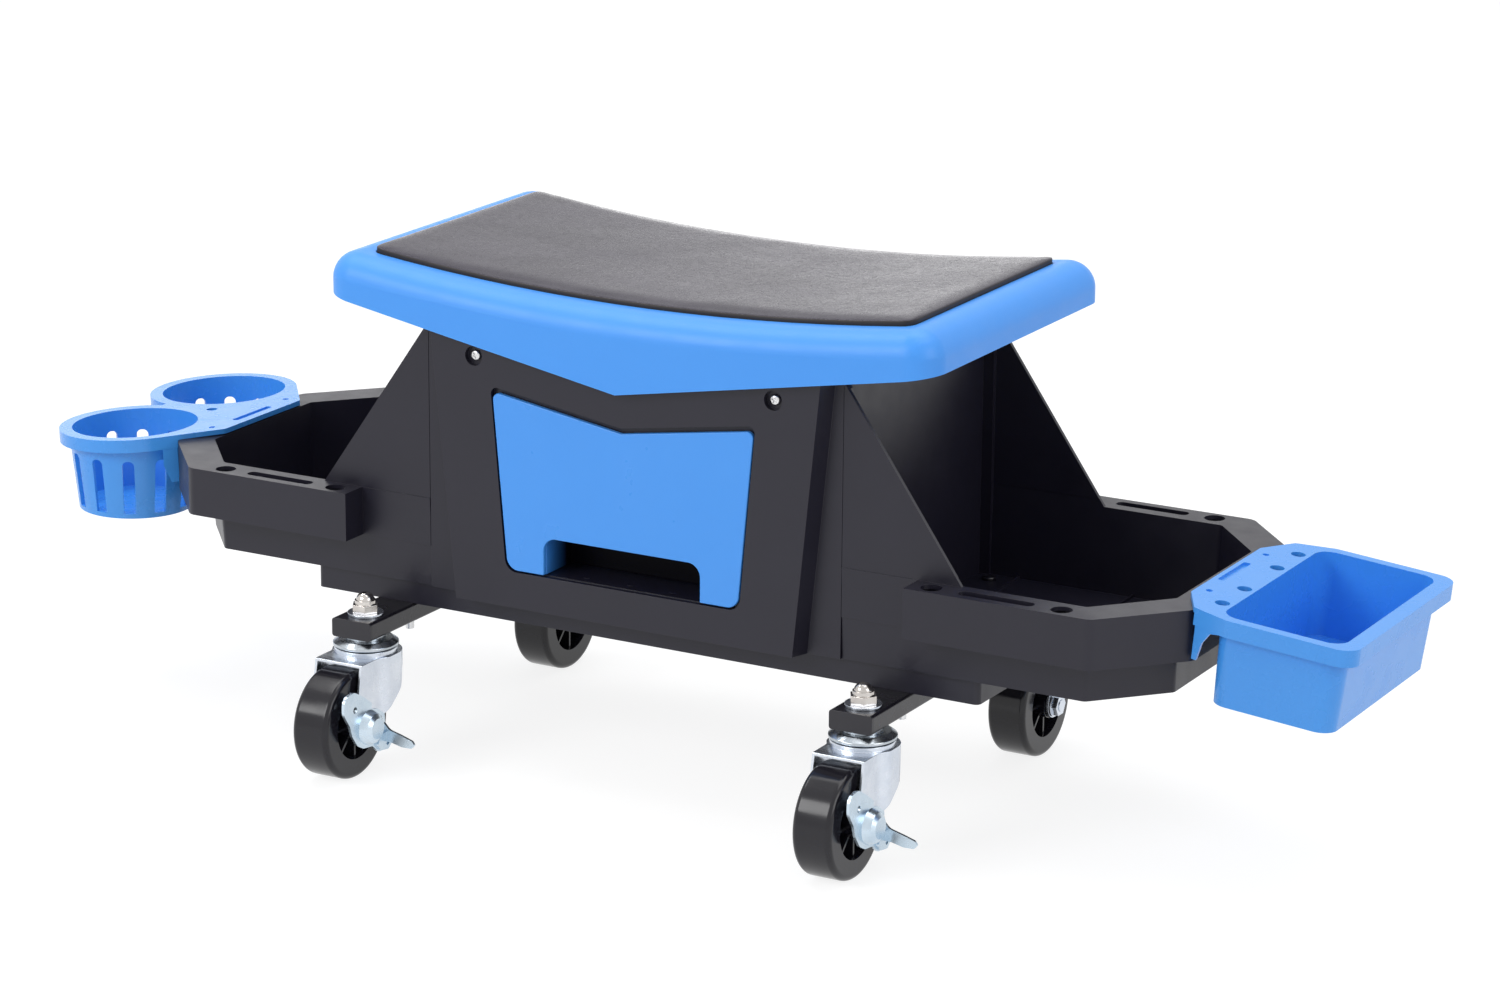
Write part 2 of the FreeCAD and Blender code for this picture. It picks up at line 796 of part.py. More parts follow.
def make_housing():
    housing = Piece("centre_housing")
    height = S.seat_rise + S.seat_end_lift
    front = S.housing_half_depth + S.panel_proud
    inner = S.housing_half_length - S.end_wall_inset - S.seat_gap
    housing.add("XY", 0, height, rectangle(S.housing_half_length, S.housing_half_depth))
    notch_depth = S.housing_half_depth - S.wall
    for low, high in ((inner, S.housing_half_length + S.overrun),
                      (-S.housing_half_length - S.overrun, -inner)):
        housing.cut("XY", -S.overrun, height + S.overrun * 2, span(low, high, -notch_depth, notch_depth))
    for side in (1, -1):
        housing.loft("AdditiveLoft", "XZ", side * (S.housing_half_depth - S.wall),
                     panel_outline(height, -S.panel_flank, 0),
                     side * front, panel_outline(height, 0, 0))
    room = rectangle(inner - S.wall, S.housing_half_depth - S.wall)
    housing.cut("XY", S.floor_height, height, room)
    housing.cut("XY", -S.overrun, S.floor_height - S.wall + S.overrun, room)
    for side in (1, -1):
        housing.loft("SubtractiveLoft", "XZ", side * (S.housing_half_depth - S.wall * 2),
                     panel_outline(height + S.overrun, S.wall - S.panel_flank, S.floor_height),
                     side * (front - S.wall), panel_outline(height + S.overrun, S.wall, S.floor_height))
    back = front - S.drawer_plate - S.seat_gap - S.surround_lip
    housing.add("XZ", back, front - S.wall - back + S.seat_gap, drawer_recess(S.wall))
    recess = front - S.drawer_plate - S.seat_gap
    housing.cut("XZ", recess, S.drawer_plate + S.overrun, drawer_recess(0 * S.wall))
    mouth = S.box_half_width + S.run_gap * 2
    mouth_top = S.floor_height + S.box_height + S.rail_wall
    housing.cut("XZ", back - S.overrun, S.surround_lip + S.overrun * 2,
                span(-mouth, mouth, S.floor_height, mouth_top))
    for side in (1, -1):
        seat = front - S.screw_recess_depth
        start = seat - S.wall if side > 0 else -(front - S.wall + S.seat_gap)
        bosses = screw_circles(S.screw_boss_radius)
        housing.add("XZ", start, S.screw_recess_depth + S.seat_gap, *bosses)
        recesses = screw_circles(S.screw_recess_radius)
        start = seat if side > 0 else -(front + S.overrun)
        housing.cut("XZ", start, S.screw_recess_depth + S.overrun, *recesses)
        holes = screw_circles(S.screw_radius + S.screw_clear)
        start = seat - S.wall - S.overrun if side > 0 else -(front + S.overrun)
        housing.cut("XZ", start, S.screw_recess_depth + S.wall + S.overrun * 2, *holes)
    housing.cut("XZ", -front - S.overrun, (front + S.overrun) * 2,
                Round(0, S.seat_rise + S.saddle_radius, S.saddle_radius + S.seat_deck + S.wall))
    keep(housing, "centre_housing", 0, 0, body_bottom)


def make_drawer_front():
    front = Piece("drawer_front")
    start = S.housing_half_depth + S.panel_proud - S.drawer_plate
    outline = both_sides([
        (S.notch_half, S.notch_high, S.notch_corner),
        (S.notch_half, S.drawer_low),
        (S.drawer_bottom_half, S.drawer_low, S.drawer_bottom_corner),
        (S.drawer_top_half, S.drawer_high, S.drawer_top_corner),
        (0, S.drawer_point),
    ])
    front.add("XZ", start, S.drawer_plate, outline)
    keep(front, "drawer_front", 0, 0, body_bottom)


def make_drawer_box():
    """An open box whose front wall turns in over the finger pocket."""
    box = Piece("drawer_box")
    face = S.housing_half_depth + S.panel_proud - S.drawer_plate
    low = S.floor_height + S.seat_gap
    back = S.box_depth - face
    box.add("XY", low, S.box_height - S.seat_gap,
            span(-S.box_half_width, S.box_half_width, -face, back, S.box_wall))
    wall = S.box_wall
    box.cut("XY", low + wall, S.box_height, span(-S.box_half_width + wall, S.box_half_width - wall,
                                                 -face + wall, back - wall, S.box_corner))
    pocket_back = face - S.pocket_depth
    roof = S.notch_high + wall
    box.add("XZ", pocket_back - wall, S.pocket_depth + wall,
            span(-S.notch_half - wall, S.notch_half + wall, low, roof))
    box.cut("XZ", pocket_back, S.pocket_depth + S.overrun,
            span(-S.notch_half, S.notch_half, low - S.overrun, S.notch_high))
    keep(box, "drawer_box", 0, 0, body_bottom)


def make_drawer_rails():
    """Angle rails that guide the box and hold it down when it is pulled out."""
    rail = Piece("drawer_rail")
    side = S.box_half_width + S.run_gap
    top = S.box_height + S.run_gap
    lip_top = top + S.rail_wall / 2
    start = -(S.box_depth - S.housing_half_depth - S.panel_proud)
    length = S.box_depth - S.drawer_plate - S.seat_gap * 2 - S.surround_lip
    outline = [(side, 0), (side + S.rail_wall, 0), (side + S.rail_wall, lip_top),
               (side - S.rail_lip, lip_top),
               (side - S.rail_lip, top), (side, top)]
    rail.add("XZ", start, length, outline)
    pair = group("drawer_rails", [rail, mirror(rail, "drawer_rail_left", 1, 0)])
    keep(pair, "drawer_rails", 0, 0, body_bottom + S.floor_height)


# End trays: the right one is drawn, and the left one is its mirror image.

def bucket_outline(start, grow):
    """The tray's plan with its two chamfered outer corners."""
    depth = S.tray_half_depth + grow
    end = S.tray_end + grow
    return both_rows([
        (start, -depth),
        (end - S.tray_chamfer_length, -depth, S.tray_corner),
        (end, -depth + S.tray_chamfer_depth, S.tray_corner),
    ])


def rim_outline(inset):
    depth = S.rim_half_depth - inset
    end = S.rim_end - inset
    return both_rows([
        (S.rim_start + inset, -depth),
        (end - S.rim_chamfer_length, -depth, S.rim_corner),
        (end, -depth + S.rim_chamfer_depth, S.rim_corner),
    ])


def wing_height(along):
    """Height of the wing's slanted edge at a distance from the middle."""
    return S.tray_depth + (S.wing_foot - along) / WING_LEAN_SHARE


def make_trays():
    tray = Piece("tray_drawn")
    seam = S.housing_half_length + S.seat_gap
    lap = S.housing_half_length - S.end_wall_inset
    lap_depth = S.housing_half_depth - S.wall - S.seat_gap
    skirt_low = S.tray_depth - S.rim_height
    tray.loft("AdditiveLoft", "XY", 0, bucket_outline(seam, 0 * S.wall), S.tray_depth,
              bucket_outline(seam, S.tray_flare))
    tray.add("XY", S.tray_depth - S.wall, S.wall, rim_outline(0 * S.wall))
    tray.add("XY", skirt_low, S.rim_height, rim_outline(0 * S.wall), rim_outline(S.wall))
    wing = [(seam, skirt_low), (S.wing_foot, skirt_low), (S.wing_foot, S.tray_depth),
            (seam, wing_height(seam))]
    lapped = [(lap, 0), (seam + S.wall, 0), (seam + S.wall, wing_height(seam + S.wall)),
              (lap, wing_height(lap))]
    for start in (S.housing_half_depth - S.wall, -S.housing_half_depth):
        tray.add("XZ", start, S.wall, wing)
    for start in (lap_depth - S.wall, -S.tray_half_depth):
        tray.add("XZ", start, S.tray_half_depth - lap_depth + S.wall, lapped)
    end_wall = [(lap, 0), (lap + S.wall, 0), (lap + S.wall, wing_height(lap + S.wall)),
                (lap, wing_height(lap))]
    tray.add("XZ", -lap_depth, lap_depth * 2, end_wall)
    tray.add("XY", 0, S.wall, span(lap, seam + S.wall, -lap_depth, lap_depth))
    for high in (True, False):
        edge = S.tray_half_depth + S.overrun
        bounds = (lap_depth, edge) if high else (-edge, -lap_depth)
        tray.cut("XY", -S.overrun, wing_height(lap) + S.overrun * 2, span(lap - S.overrun, seam, *bounds))
    tray.loft("SubtractiveLoft", "XY", S.wall, bucket_outline(seam + S.wall, -S.wall),
              S.tray_depth + S.overrun, bucket_outline(seam + S.wall, S.tray_flare - S.wall))
    tray.cut("XY", S.wall, S.tray_depth,
             span(lap + S.wall, seam + S.wall * 2, S.wall - lap_depth, lap_depth - S.wall))
    for place in range(2):
        middle = S.tray_rib_first + S.tray_rib_pitch * place
        half = S.tray_rib_width / 2
        depth = S.tray_half_depth - S.wall / 2
        tray.add("XY", S.wall / 2, S.wall / 2 + S.tray_rib_height,
                 span(middle - half, middle + half, -depth, depth))
    holes = [Round(along, side * S.tool_line, S.tool_hole_radius)
             for along in (S.tool_hole_near, S.tool_hole_far) for side in (1, -1)]
    half_slot = S.tool_slot_width / 2
    slots = [span(S.tool_slot_start, S.tool_slot_end, side * S.tool_line - half_slot,
                  side * S.tool_line + half_slot, S.tool_slot_width * SLOT_END_SHARE)
             for side in (1, -1)]
    peg_hole = S.peg_radius + S.peg_clear
    pegs = [Round(S.rim_end - S.peg_inset, side * S.peg_across, peg_hole) for side in (1, -1)]
    tray.cut("XY", S.tray_depth - S.wall - S.overrun / 5, S.wall + S.overrun, *(holes + slots + pegs))
    screw_holes = [Round(S.tray_screw_along, side * S.tray_screw_across, S.screw_radius + S.screw_clear)
                   for side in (1, -1)]
    tray.cut("XY", -S.overrun, S.wall + S.overrun * 2, *screw_holes)
    left = mirror(tray, "left_tray", 1, 0)
    right = group("right_tray", [tray])
    keep(right, "right_tray", 0, 0, body_bottom)
    keep(left, "left_tray", 0, 0, body_bottom)


def make_tray_screws():
    screw = Piece("tray_screw")
    spot = (S.tray_screw_along, S.tray_screw_across)
    screw.add("XY", S.wall + S.seat_gap / 3, S.screw_head_height, Round(*spot, S.tray_screw_head))
    screw.add("XY", S.wall - S.tray_screw_length, S.tray_screw_length + S.seat_gap,
              Round(*spot, S.screw_radius))
    screw.fillet(S.screw_head_height / 2,
                 lambda e: near(e.BoundBox.ZMin, S.wall + S.seat_gap / 3 + S.screw_head_height))
    keep(four_corners(screw, "tray_screws"), "tray_screws", 0, 0, body_bottom)


# Lift-off pieces: the local origin is the top outer edge of the rim that carries them.

def mark_outlines(along):
    """The blind slot and the two small blind holes near the inner edge."""
    slot = span(along, along + S.mark_slot_width, -S.mark_slot_half, S.mark_slot_half,
                S.mark_slot_width * SLOT_END_SHARE)
    holes = [Round(S.mark_slot_width + along, side * S.mark_hole_across, S.mark_hole_radius)
             for side in (1, -1)]
    return [slot] + holes


def accessory_pegs(plate):
    pegs = [Round(-S.peg_inset, side * S.peg_across, S.peg_radius) for side in (1, -1)]
    plate.add("XY", -S.peg_length, S.peg_length + S.plate_thickness / 2, *pegs)


def gusset(name, angle, flank, slope, length, side):
    """A fin that leans on the rim's skirt, along the straight flank of the plate."""
    fin = Piece(name)
    start = S.run_gap + S.gusset_drop * sine(angle)
    end = start + length
    edge_start = side * (flank[1] - S.run_gap + (start - flank[0]) * slope)
    edge_end = side * (flank[1] - S.run_gap + (end - flank[0]) * slope)
    inward = side * S.bin_wall * 1.2
    fin.add("XY", -S.gusset_drop, S.gusset_drop + S.plate_thickness / 2,
            [(start, edge_start - inward), (end, edge_end - inward), (end, edge_end),
             (start, edge_start)])
    foot = start + S.gusset_foot
    reach = S.bin_half_width + S.overrun
    fin.cut("XZ", -reach, reach * 2, [
        (foot, -S.gusset_drop - S.overrun),
        (foot, -S.gusset_drop),
        (foot + S.gusset_length * 0.15, -S.gusset_drop * 0.6),
        (foot + S.gusset_length * 0.45, -S.gusset_drop * 0.32),
        (foot + S.gusset_length, -S.gusset_drop * 0.24),
        (foot + S.gusset_length, -S.gusset_drop - S.overrun),
    ])
    return fin


def bin_outline(inset):
    return both_rows([
        (-S.bin_inner + inset, -S.bin_inner_half + inset * 0.25, S.overrun),
        (S.bin_waist + inset * 0.7, -S.bin_waist_half + inset * 0.8, S.overrun),
        (S.bin_shoulder + inset * 0.15, -S.bin_half_width + inset, S.bin_corner / 2),
        (S.bin_reach - inset, -S.bin_half_width + inset, S.bin_corner - inset),
    ])


def basket_outline(grow, end_draft, corner):
    return span(S.bin_mouth_start - grow + end_draft / 2, S.bin_mouth_end + grow - end_draft,
                -S.bin_mouth_half - grow + end_draft, S.bin_mouth_half + grow - end_draft, corner)


def make_side_bin():
    plate = Piece("side_bin_drawn")
    none = S.bin_wall * 0
    plate.add("XY", 0, S.plate_thickness, bin_outline(none))
    plate.add("XY", -S.bin_skirt, S.bin_skirt + S.plate_thickness / 2, bin_outline(none),
              bin_outline(S.bin_wall))
    rim_room = S.bin_half_width + S.overrun
    plate.cut("XY", -S.bin_skirt - S.overrun, S.bin_skirt + S.overrun,
              span(-S.bin_inner - S.overrun, S.run_gap * 3, -rim_room, rim_room))
    plate.loft("AdditiveLoft", "XY", -S.bin_depth,
               basket_outline(S.bin_wall, S.bin_draft, S.bin_mouth_corner),
               S.plate_thickness / 2, basket_outline(S.bin_wall, none, S.bin_mouth_corner + S.bin_wall))
    plate.loft("SubtractiveLoft", "XY", S.bin_wall - S.bin_depth,
               basket_outline(none, S.bin_draft, S.bin_mouth_corner - S.bin_wall),
               S.plate_thickness + S.overrun, basket_outline(none, none, S.bin_mouth_corner))
    holes = [Round(S.bin_hole_along, side * across, S.bin_hole_radius)
             for across in (S.bin_hole_near, S.bin_hole_far) for side in (1, -1)]
    plate.cut("XY", -S.overrun, S.plate_thickness + S.overrun * 2, *holes)
    plate.cut("XY", S.plate_thickness - S.mark_depth, S.mark_depth + S.overrun,
              *mark_outlines(S.bin_slot_inset - S.bin_inner))
    accessory_pegs(plate)
    slope = (S.bin_half_width - S.bin_waist_half) / (S.bin_shoulder - S.bin_waist)
    flank = (S.bin_waist, S.bin_waist_half)
    fins = [gusset("bin_gusset", S.bin_tilt, flank, slope, S.gusset_length, side) for side in (1, -1)]
    whole = join("Fuse", "side_bin", [plate] + fins)
    tilt(whole, S.bin_tilt)
    keep(whole, "side_bin", S.rim_end, 0, rim_top)


def flank_touch(inset):
    """Where the holder's straight flank meets a cup's rim."""
    rim = S.cup_rim_radius - inset
    return S.cup_along - rim * FLANK_TOUCH_SHARES[0], S.cup_across + rim * FLANK_TOUCH_SHARES[1]


def holder_outline(inset):
    touch_x, touch_y = flank_touch(inset)
    return both_rows([
        (inset - S.holder_inner, inset / 2 - S.holder_inner_half, S.overrun), (touch_x, -touch_y),
        (S.cup_along, -S.cup_across), (S.web_reach - inset, 0),
    ])


def holder_slab(name, start, length, inset):
    """The plate and both cup rims, as one flat slab."""
    slab = Piece(name)
    slab.add("XY", start, length, holder_outline(inset))
    for side in (1, -1):
        slab.add("XY", start, length, Round(S.cup_along, side * S.cup_across, S.cup_rim_radius - inset))
    return slab


def cone(name, low, low_radius, high, high_radius):
    """A cone about Z whose seam lies midway between two of the cup's slots."""
    item = doc.addObject("Part::Cone", name)
    item.Placement.Rotation = FreeCAD.Rotation(FreeCAD.Vector(0, 0, 1), FULL_TURN / CUP_SLOTS / 2)
    bind(item, "Radius1", low_radius)
    bind(item, "Radius2", high_radius)
    bind(item, "Height", high - low)
    bind(item, "Placement.Base.z", low)
    return item


def make_cup(side):
    """A tapered cup that hangs plumb, with slots cut through its wall all the way round."""
    top = S.plate_thickness * 2
    foot = S.cup_foot_radius
    mouth = S.cup_mouth_radius + S.cup_wall
    outer = cone("cup_outer", -S.cup_depth, foot, top, mouth)
    inner = cone("cup_inner", S.cup_wall - S.cup_depth, foot - S.cup_wall, top + S.overrun,
                 mouth - S.cup_wall)
    slots = Piece("cup_slots")
    slots.body.AllowCompound = True
    half = S.cup_slot_width / 2
    slot = slots.add("YZ", foot - S.overrun * 2, S.overrun * 4, [
        (-half, S.cup_slot_foot - S.cup_depth), (half, S.cup_slot_foot - S.cup_depth),
        (half, -S.cup_slot_top, half * 0.9), (-half, -S.cup_slot_top, half * 0.9),
    ])
    slots.repeat(slot, "Z", CUP_SLOTS)
    cup = join("Cut", "cup", [outer, inner, slots])
    tilt(cup, -S.holder_tilt)
    move(cup, S.cup_along, side * S.cup_across, 0)
    return cup


def make_cup_holder():
    none = S.cup_wall * 0
    low = -S.cup_skirt - S.overrun
    top = S.plate_thickness + S.overrun * 2
    reach = S.cup_across + S.cup_rim_radius
    slab = holder_slab("holder_slab", -S.cup_skirt, S.cup_skirt + S.plate_thickness, none)
    under = holder_slab("holder_under", low, -low, S.bin_wall)
    room = Piece("holder_rim_room")
    room.add("XY", low, -low, span(-S.holder_inner - S.overrun, S.run_gap * 3, -reach, reach))
    mouths = Piece("holder_mouths")
    mouths.add("XY", low, top - low,
               *[Round(S.cup_along, side * S.cup_across,
                       S.cup_mouth_radius + S.cup_wall / 2) for side in (1, -1)])
    tray = join("Cut", "holder_tray", [slab, under, room, mouths])
    pegs = Piece("holder_pegs")
    accessory_pegs(pegs)
    marks = Piece("holder_marks")
    marks.add("XY", low, top - low, Round(S.holder_hole_along, 0, S.holder_hole_radius))
    marks.add("XY", S.plate_thickness - S.mark_depth, S.mark_depth + S.overrun,
              *mark_outlines(S.holder_slot_inset - S.holder_inner))
    trim = Piece("holder_trim")
    trim.add("XY", S.plate_thickness, S.plate_thickness * 2 + S.overrun,
             span(0, reach + S.cup_rim_radius, -reach, reach))
    body = join("Fuse", "holder_body", [tray, pegs] + [make_cup(side) for side in (1, -1)])
    marked = join("Cut", "holder_marked", [body, marks, trim])
    touch = flank_touch(none)
    slope = (touch[1] - S.holder_inner_half) / (touch[0] + S.holder_inner)
    start = S.run_gap + S.gusset_drop * sine(S.holder_tilt)
    fins = [gusset("holder_gusset", S.holder_tilt, touch, slope, touch[0] - start - S.cup_wall,
                   side) for side in (1, -1)]
    whole = join("Fuse", "holder_whole", [marked] + fins)
    tilt(whole, S.holder_tilt)
    move(whole, S.rim_end, 0, rim_top)
    keep(mirror(whole, "cup_holder", 1, 0), "cup_holder", 0, 0, 0)


# Base frame and cross tubes: local height zero is the bottom of the base frame.

def make_base_frame():
    base = Piece("base_frame")
    top = S.base_height - S.wall
    outer = rectangle(S.base_half_length, S.base_half_depth, S.base_corner)
    inner = rectangle(S.base_half_length - S.wall, S.base_half_depth - S.wall, S.base_corner - S.wall)
    base.add("XY", 0, S.base_height, outer)
    base.cut("XY", -S.overrun, top + S.overrun, inner)
    half = S.base_rib / 2
    depth = S.base_half_depth - S.wall / 2
    for middle in (-S.housing_half_length, 0 * S.wall, S.housing_half_length):
        base.add("XY", S.base_rib, top - S.base_rib + S.wall / 2,
                 span(middle - half, middle + half, -depth, depth))
    length = S.base_half_length - S.wall / 2
    base.add("XY", S.base_rib, top - S.base_rib + S.wall / 2, span(-length, length, -half, half))
    bolts = [(a * S.stem_along, b * S.base_bolt_across) for a in (1, -1) for b in (1, -1)]
    base.add("XY", 0, top + S.wall / 2, *[Round(*spot, S.base_boss_radius) for spot in bolts])
    base.cut("XY", -S.overrun, S.base_height + S.overrun * 2,
             *[Round(*spot, S.bolt_radius + S.bolt_clear) for spot in bolts])
    base.cut("XY", top, S.wall + S.overrun,
             *[Round(*spot, S.bolt_head_radius + S.bolt_clear * 2) for spot in bolts])
    screws = [(a * S.tray_screw_along, b * S.tray_screw_across) for a in (1, -1) for b in (1, -1)]
    base.add("XY", S.base_rib, top - S.base_rib + S.wall / 2,
             *[Round(*spot, S.screw_radius * 2) for spot in screws])
    base.cut("XY", S.base_rib - S.overrun, S.base_height + S.overrun * 2,
             *[Round(*spot, S.screw_radius + S.screw_clear / 2) for spot in screws])
    keep(base, "base_frame", 0, 0, base_bottom)


def make_frame_bolts():
    bolt = Piece("frame_bolt")
    spot = (S.stem_along, S.base_bolt_across)
    seat = S.base_height - S.wall
    tail = S.tube_height + S.bolt_nut_height + S.bolt_tail
    bolt.add("XY", seat + S.seat_gap / 3, S.bolt_head_height, Round(*spot, S.bolt_head_radius))
    bolt.add("XY", -tail, tail + seat + S.seat_gap, Round(*spot, S.bolt_radius))
    keep(four_corners(bolt, "frame_bolts"), "frame_bolts", 0, 0, base_bottom)
    nut = Piece("frame_nut")
    low = -S.tube_height - S.bolt_nut_height - S.seat_gap / 3
    outline = [(x + spot[0], y + spot[1]) for x, y in hexagon(S.bolt_nut_across)]
    nut.add("XY", low, S.bolt_nut_height, outline, Round(*spot, S.bolt_radius + S.bolt_clear / 2))
    keep(four_corners(nut, "frame_nuts"), "frame_nuts", 0, 0, base_bottom)


def make_cross_tube(name, side):
    """A rectangular steel tube, holed for the stems and the frame bolts."""
    tube = Piece(name)
    half = S.tube_width / 2
    length = S.tube_half_length - S.plug_head
    wall = S.tube_wall
    tube.add("XZ", -length, length * 2, span(-half, half, 0, S.tube_height, S.tube_corner),
             span(wall - half, half - wall, wall, S.tube_height - wall, S.tube_corner - wall))
    stems = [Round(0, sign * S.stem_across, S.stem_radius + S.bolt_clear) for sign in (1, -1)]
    bolts = [Round(0, sign * S.base_bolt_across, S.bolt_radius + S.bolt_clear) for sign in (1, -1)]
    tube.cut("XY", -S.overrun, S.tube_height + S.overrun * 2, *(stems + bolts))
    keep(tube, name, side * S.stem_along, 0, tube_bottom)


def make_tube_plugs():
    plug = Piece("tube_plug")
    half = S.tube_width / 2
    wall = S.tube_wall + S.seat_gap / 3
    head = -S.tube_half_length
    left, right = S.stem_along - half, S.stem_along + half
    plug.add("XZ", head, S.plug_head, span(left, right, 0, S.tube_height, S.tube_corner))
    plug.add("XZ", head + S.plug_head / 2, S.plug_depth / 2,
             span(left + wall, right - wall, wall, S.tube_height - wall, S.tube_corner - S.tube_wall))
    keep(four_corners(plug, "tube_end_plugs"), "tube_end_plugs", 0, 0, tube_bottom)


# Casters: the local height of a fixed piece is zero at the top of the fork's plate.

def make_caster_stems():
    """Riveted stems: the head holds the fork up against the bearing cup."""
    stem = Piece("caster_stem")
    spot = (S.stem_along, S.stem_across)
    head_top = -S.fork_sheet - S.seat_gap
    top = S.swivel_height + S.tube_height + S.washer_thickness + S.stem_top
    stem.add("XY", head_top - S.stem_head_height, S.stem_head_height, Round(*spot, S.stem_head_radius))
    stem.add("XY", head_top - S.stem_head_height / 2, top - head_top + S.stem_head_height / 2,
             Round(*spot, S.stem_radius))
    keep(four_corners(stem, "caster_stems"), "caster_stems", 0, 0, fork_top)


def make_swivel_cups():
    """The fixed half of each swivel bearing, with the collar that carries the tube."""
    cup = Piece("swivel_cup")
    low = S.race_height + S.seat_gap
    bore = S.stem_radius + S.stem_clear
    shoulder = S.swivel_height - S.collar_height
    cup.turn("Revolution", "XZ", "Z", [
        (bore, low), (S.race_radius * 0.93, low),
        (S.race_radius, low + S.race_height * 0.35, S.race_height * 0.15),
        (S.race_radius, low + S.race_height * 0.85, S.race_height * 0.3),
        (S.race_radius * 0.82, shoulder),
        (S.collar_radius, shoulder), (S.collar_radius, S.swivel_height), (bore, S.swivel_height),
    ])
    move(cup, S.stem_along, S.stem_across, 0)
    keep(four_corners(cup, "swivel_cups"), "swivel_cups", 0, 0, fork_top)


def make_stem_washers():
    washer = Piece("stem_washer")
    spot = (S.stem_along, S.stem_across)
    washer.add("XY", 0, S.washer_thickness, Round(*spot, S.washer_radius),
               Round(*spot, S.stem_radius + S.bolt_clear))
    keep(four_corners(washer, "stem_washers"), "stem_washers", 0, 0, base_bottom)


def make_acorn_nuts():
    nut = Piece("acorn_nut")
    nut.add("XY", 0, S.acorn_hex_height, hexagon(S.acorn_across))
    nut.turn("Revolution", "XZ", "Z", [
        (0, S.acorn_hex_height / 2), (S.acorn_collar_radius, S.acorn_hex_height / 2),
        (S.acorn_collar_radius, S.acorn_collar_height), (S.acorn_dome_radius, S.acorn_collar_height),
        (S.acorn_dome_radius, S.acorn_height, S.acorn_dome_radius * 0.94), (0, S.acorn_height),
    ])
    nut.cut("XY", -S.overrun, S.stem_top + S.seat_gap * 2 + S.overrun,
            Round(0, 0, S.stem_radius + S.stem_clear))
    move(nut, S.stem_along, S.stem_across, 0)
    keep(four_corners(nut, "acorn_nuts"), "acorn_nuts", 0, 0, base_bottom + S.washer_thickness)


def fork_profile():
    """The leg seen from the side: across is the distance behind the stem, up is over the plate."""
    axle = -S.trail
    low = -S.fork_rise - S.fork_toe_drop
    return [
        (-S.fork_front, 0), (axle - S.fork_toe_front, low, S.fork_toe_drop),
        (axle + S.fork_toe_back, low, S.fork_toe_drop * 0.9),
        (S.fork_leg_back, -S.fork_rise + S.fork_heel_rise, S.fork_toe_drop),
        (S.fork_leg_back + S.fork_skirt / 4, -S.fork_skirt), (S.fork_back + S.overrun, -S.fork_skirt),
        (S.fork_back + S.overrun, 0),
    ]


def fork_plan(inset, front):
    """The folded sheet seen from above: straight legs that flare into a rounded back."""
    half = S.fork_half_width - inset
    return both_sides([
        (half, -front),
        (half, -S.fork_flare_start, S.fork_flare_corner),
        (half + S.fork_flare, -S.fork_flare_end, S.fork_flare_corner),
        (half + S.fork_flare, S.fork_back - inset, S.fork_bend - inset),
    ])


def make_fork():
    """One folded sheet: a plate under the bearing and a leg on each side of the wheel."""
    shell = Piece("fork_shell")
    front = S.trail + S.fork_toe_front + S.fork_toe_drop
    depth = S.fork_rise + S.fork_toe_drop + S.overrun
    none = S.fork_sheet * 0
    shell.add("XY", -depth, depth, fork_plan(none, front))
    shell.cut("XY", -depth - S.overrun, depth + S.overrun - S.fork_sheet,
              fork_plan(S.fork_sheet, front + S.overrun))
    side = Piece("fork_side")
    side.add("YZ", -S.fork_half_width - S.fork_flare * 2, (S.fork_half_width + S.fork_flare * 2) * 2,
             fork_profile())
    folded = join("Common", "fork_folded", [shell, side])
    race = Piece("fork_race")
    race.add("XY", -S.fork_sheet / 2, S.race_height + S.fork_sheet / 2,
             Round(0, 0, S.race_radius - S.fork_sheet / 2),
             Round(0, 0, S.race_inner))
    holes = Piece("fork_holes")
    holes.add("XY", -S.fork_sheet - S.overrun, S.fork_sheet + S.overrun * 2,
              Round(0, 0, S.stem_radius + S.stem_clear))
    bore = Piece("fork_axle_hole")
    bore.add("YZ", -S.fork_half_width - S.overrun, (S.fork_half_width + S.overrun) * 2,
             Round(-S.trail, -S.fork_rise, S.axle_radius + S.axle_clear))
    return join("Cut", "fork", [join("Fuse", "fork_raced", [folded, race]), holes, bore])


def make_axle_bolt(flange_height):
    """The axle bolt and its flanged nut, about the axle's centre."""
    bolt = Piece("axle_bolt")
    side = S.fork_half_width + S.seat_gap / 3
    end = side + flange_height + S.axle_nut_height + S.axle_tail
    bolt.add("YZ", -side - S.axle_head_height, S.axle_head_height, hexagon(S.axle_nut_across))
    bolt.add("YZ", -side - S.axle_head_height / 2, end + side + S.axle_head_height / 2,
             Round(0, 0, S.axle_radius))
    nut = Piece("axle_nut")
    nut.add("YZ", side, flange_height, Round(0, 0, S.axle_flange_radius))
    nut.add("YZ", side, flange_height + S.axle_nut_height, hexagon(S.axle_nut_across))
    nut.cut("YZ", side - S.overrun, S.axle_nut_height + flange_height + S.overrun * 2,
            Round(0, 0, S.axle_radius + S.stem_clear))
    return group("axle_set", [bolt, nut])


def make_axle_sleeve():
    sleeve = Piece("axle_sleeve")
    half = S.fork_half_width - S.fork_sheet - S.seat_gap / 3
    sleeve.add("YZ", -half, half * 2, Round(0, 0, S.sleeve_radius),
               Round(0, 0, S.axle_radius + S.axle_clear))
    return sleeve


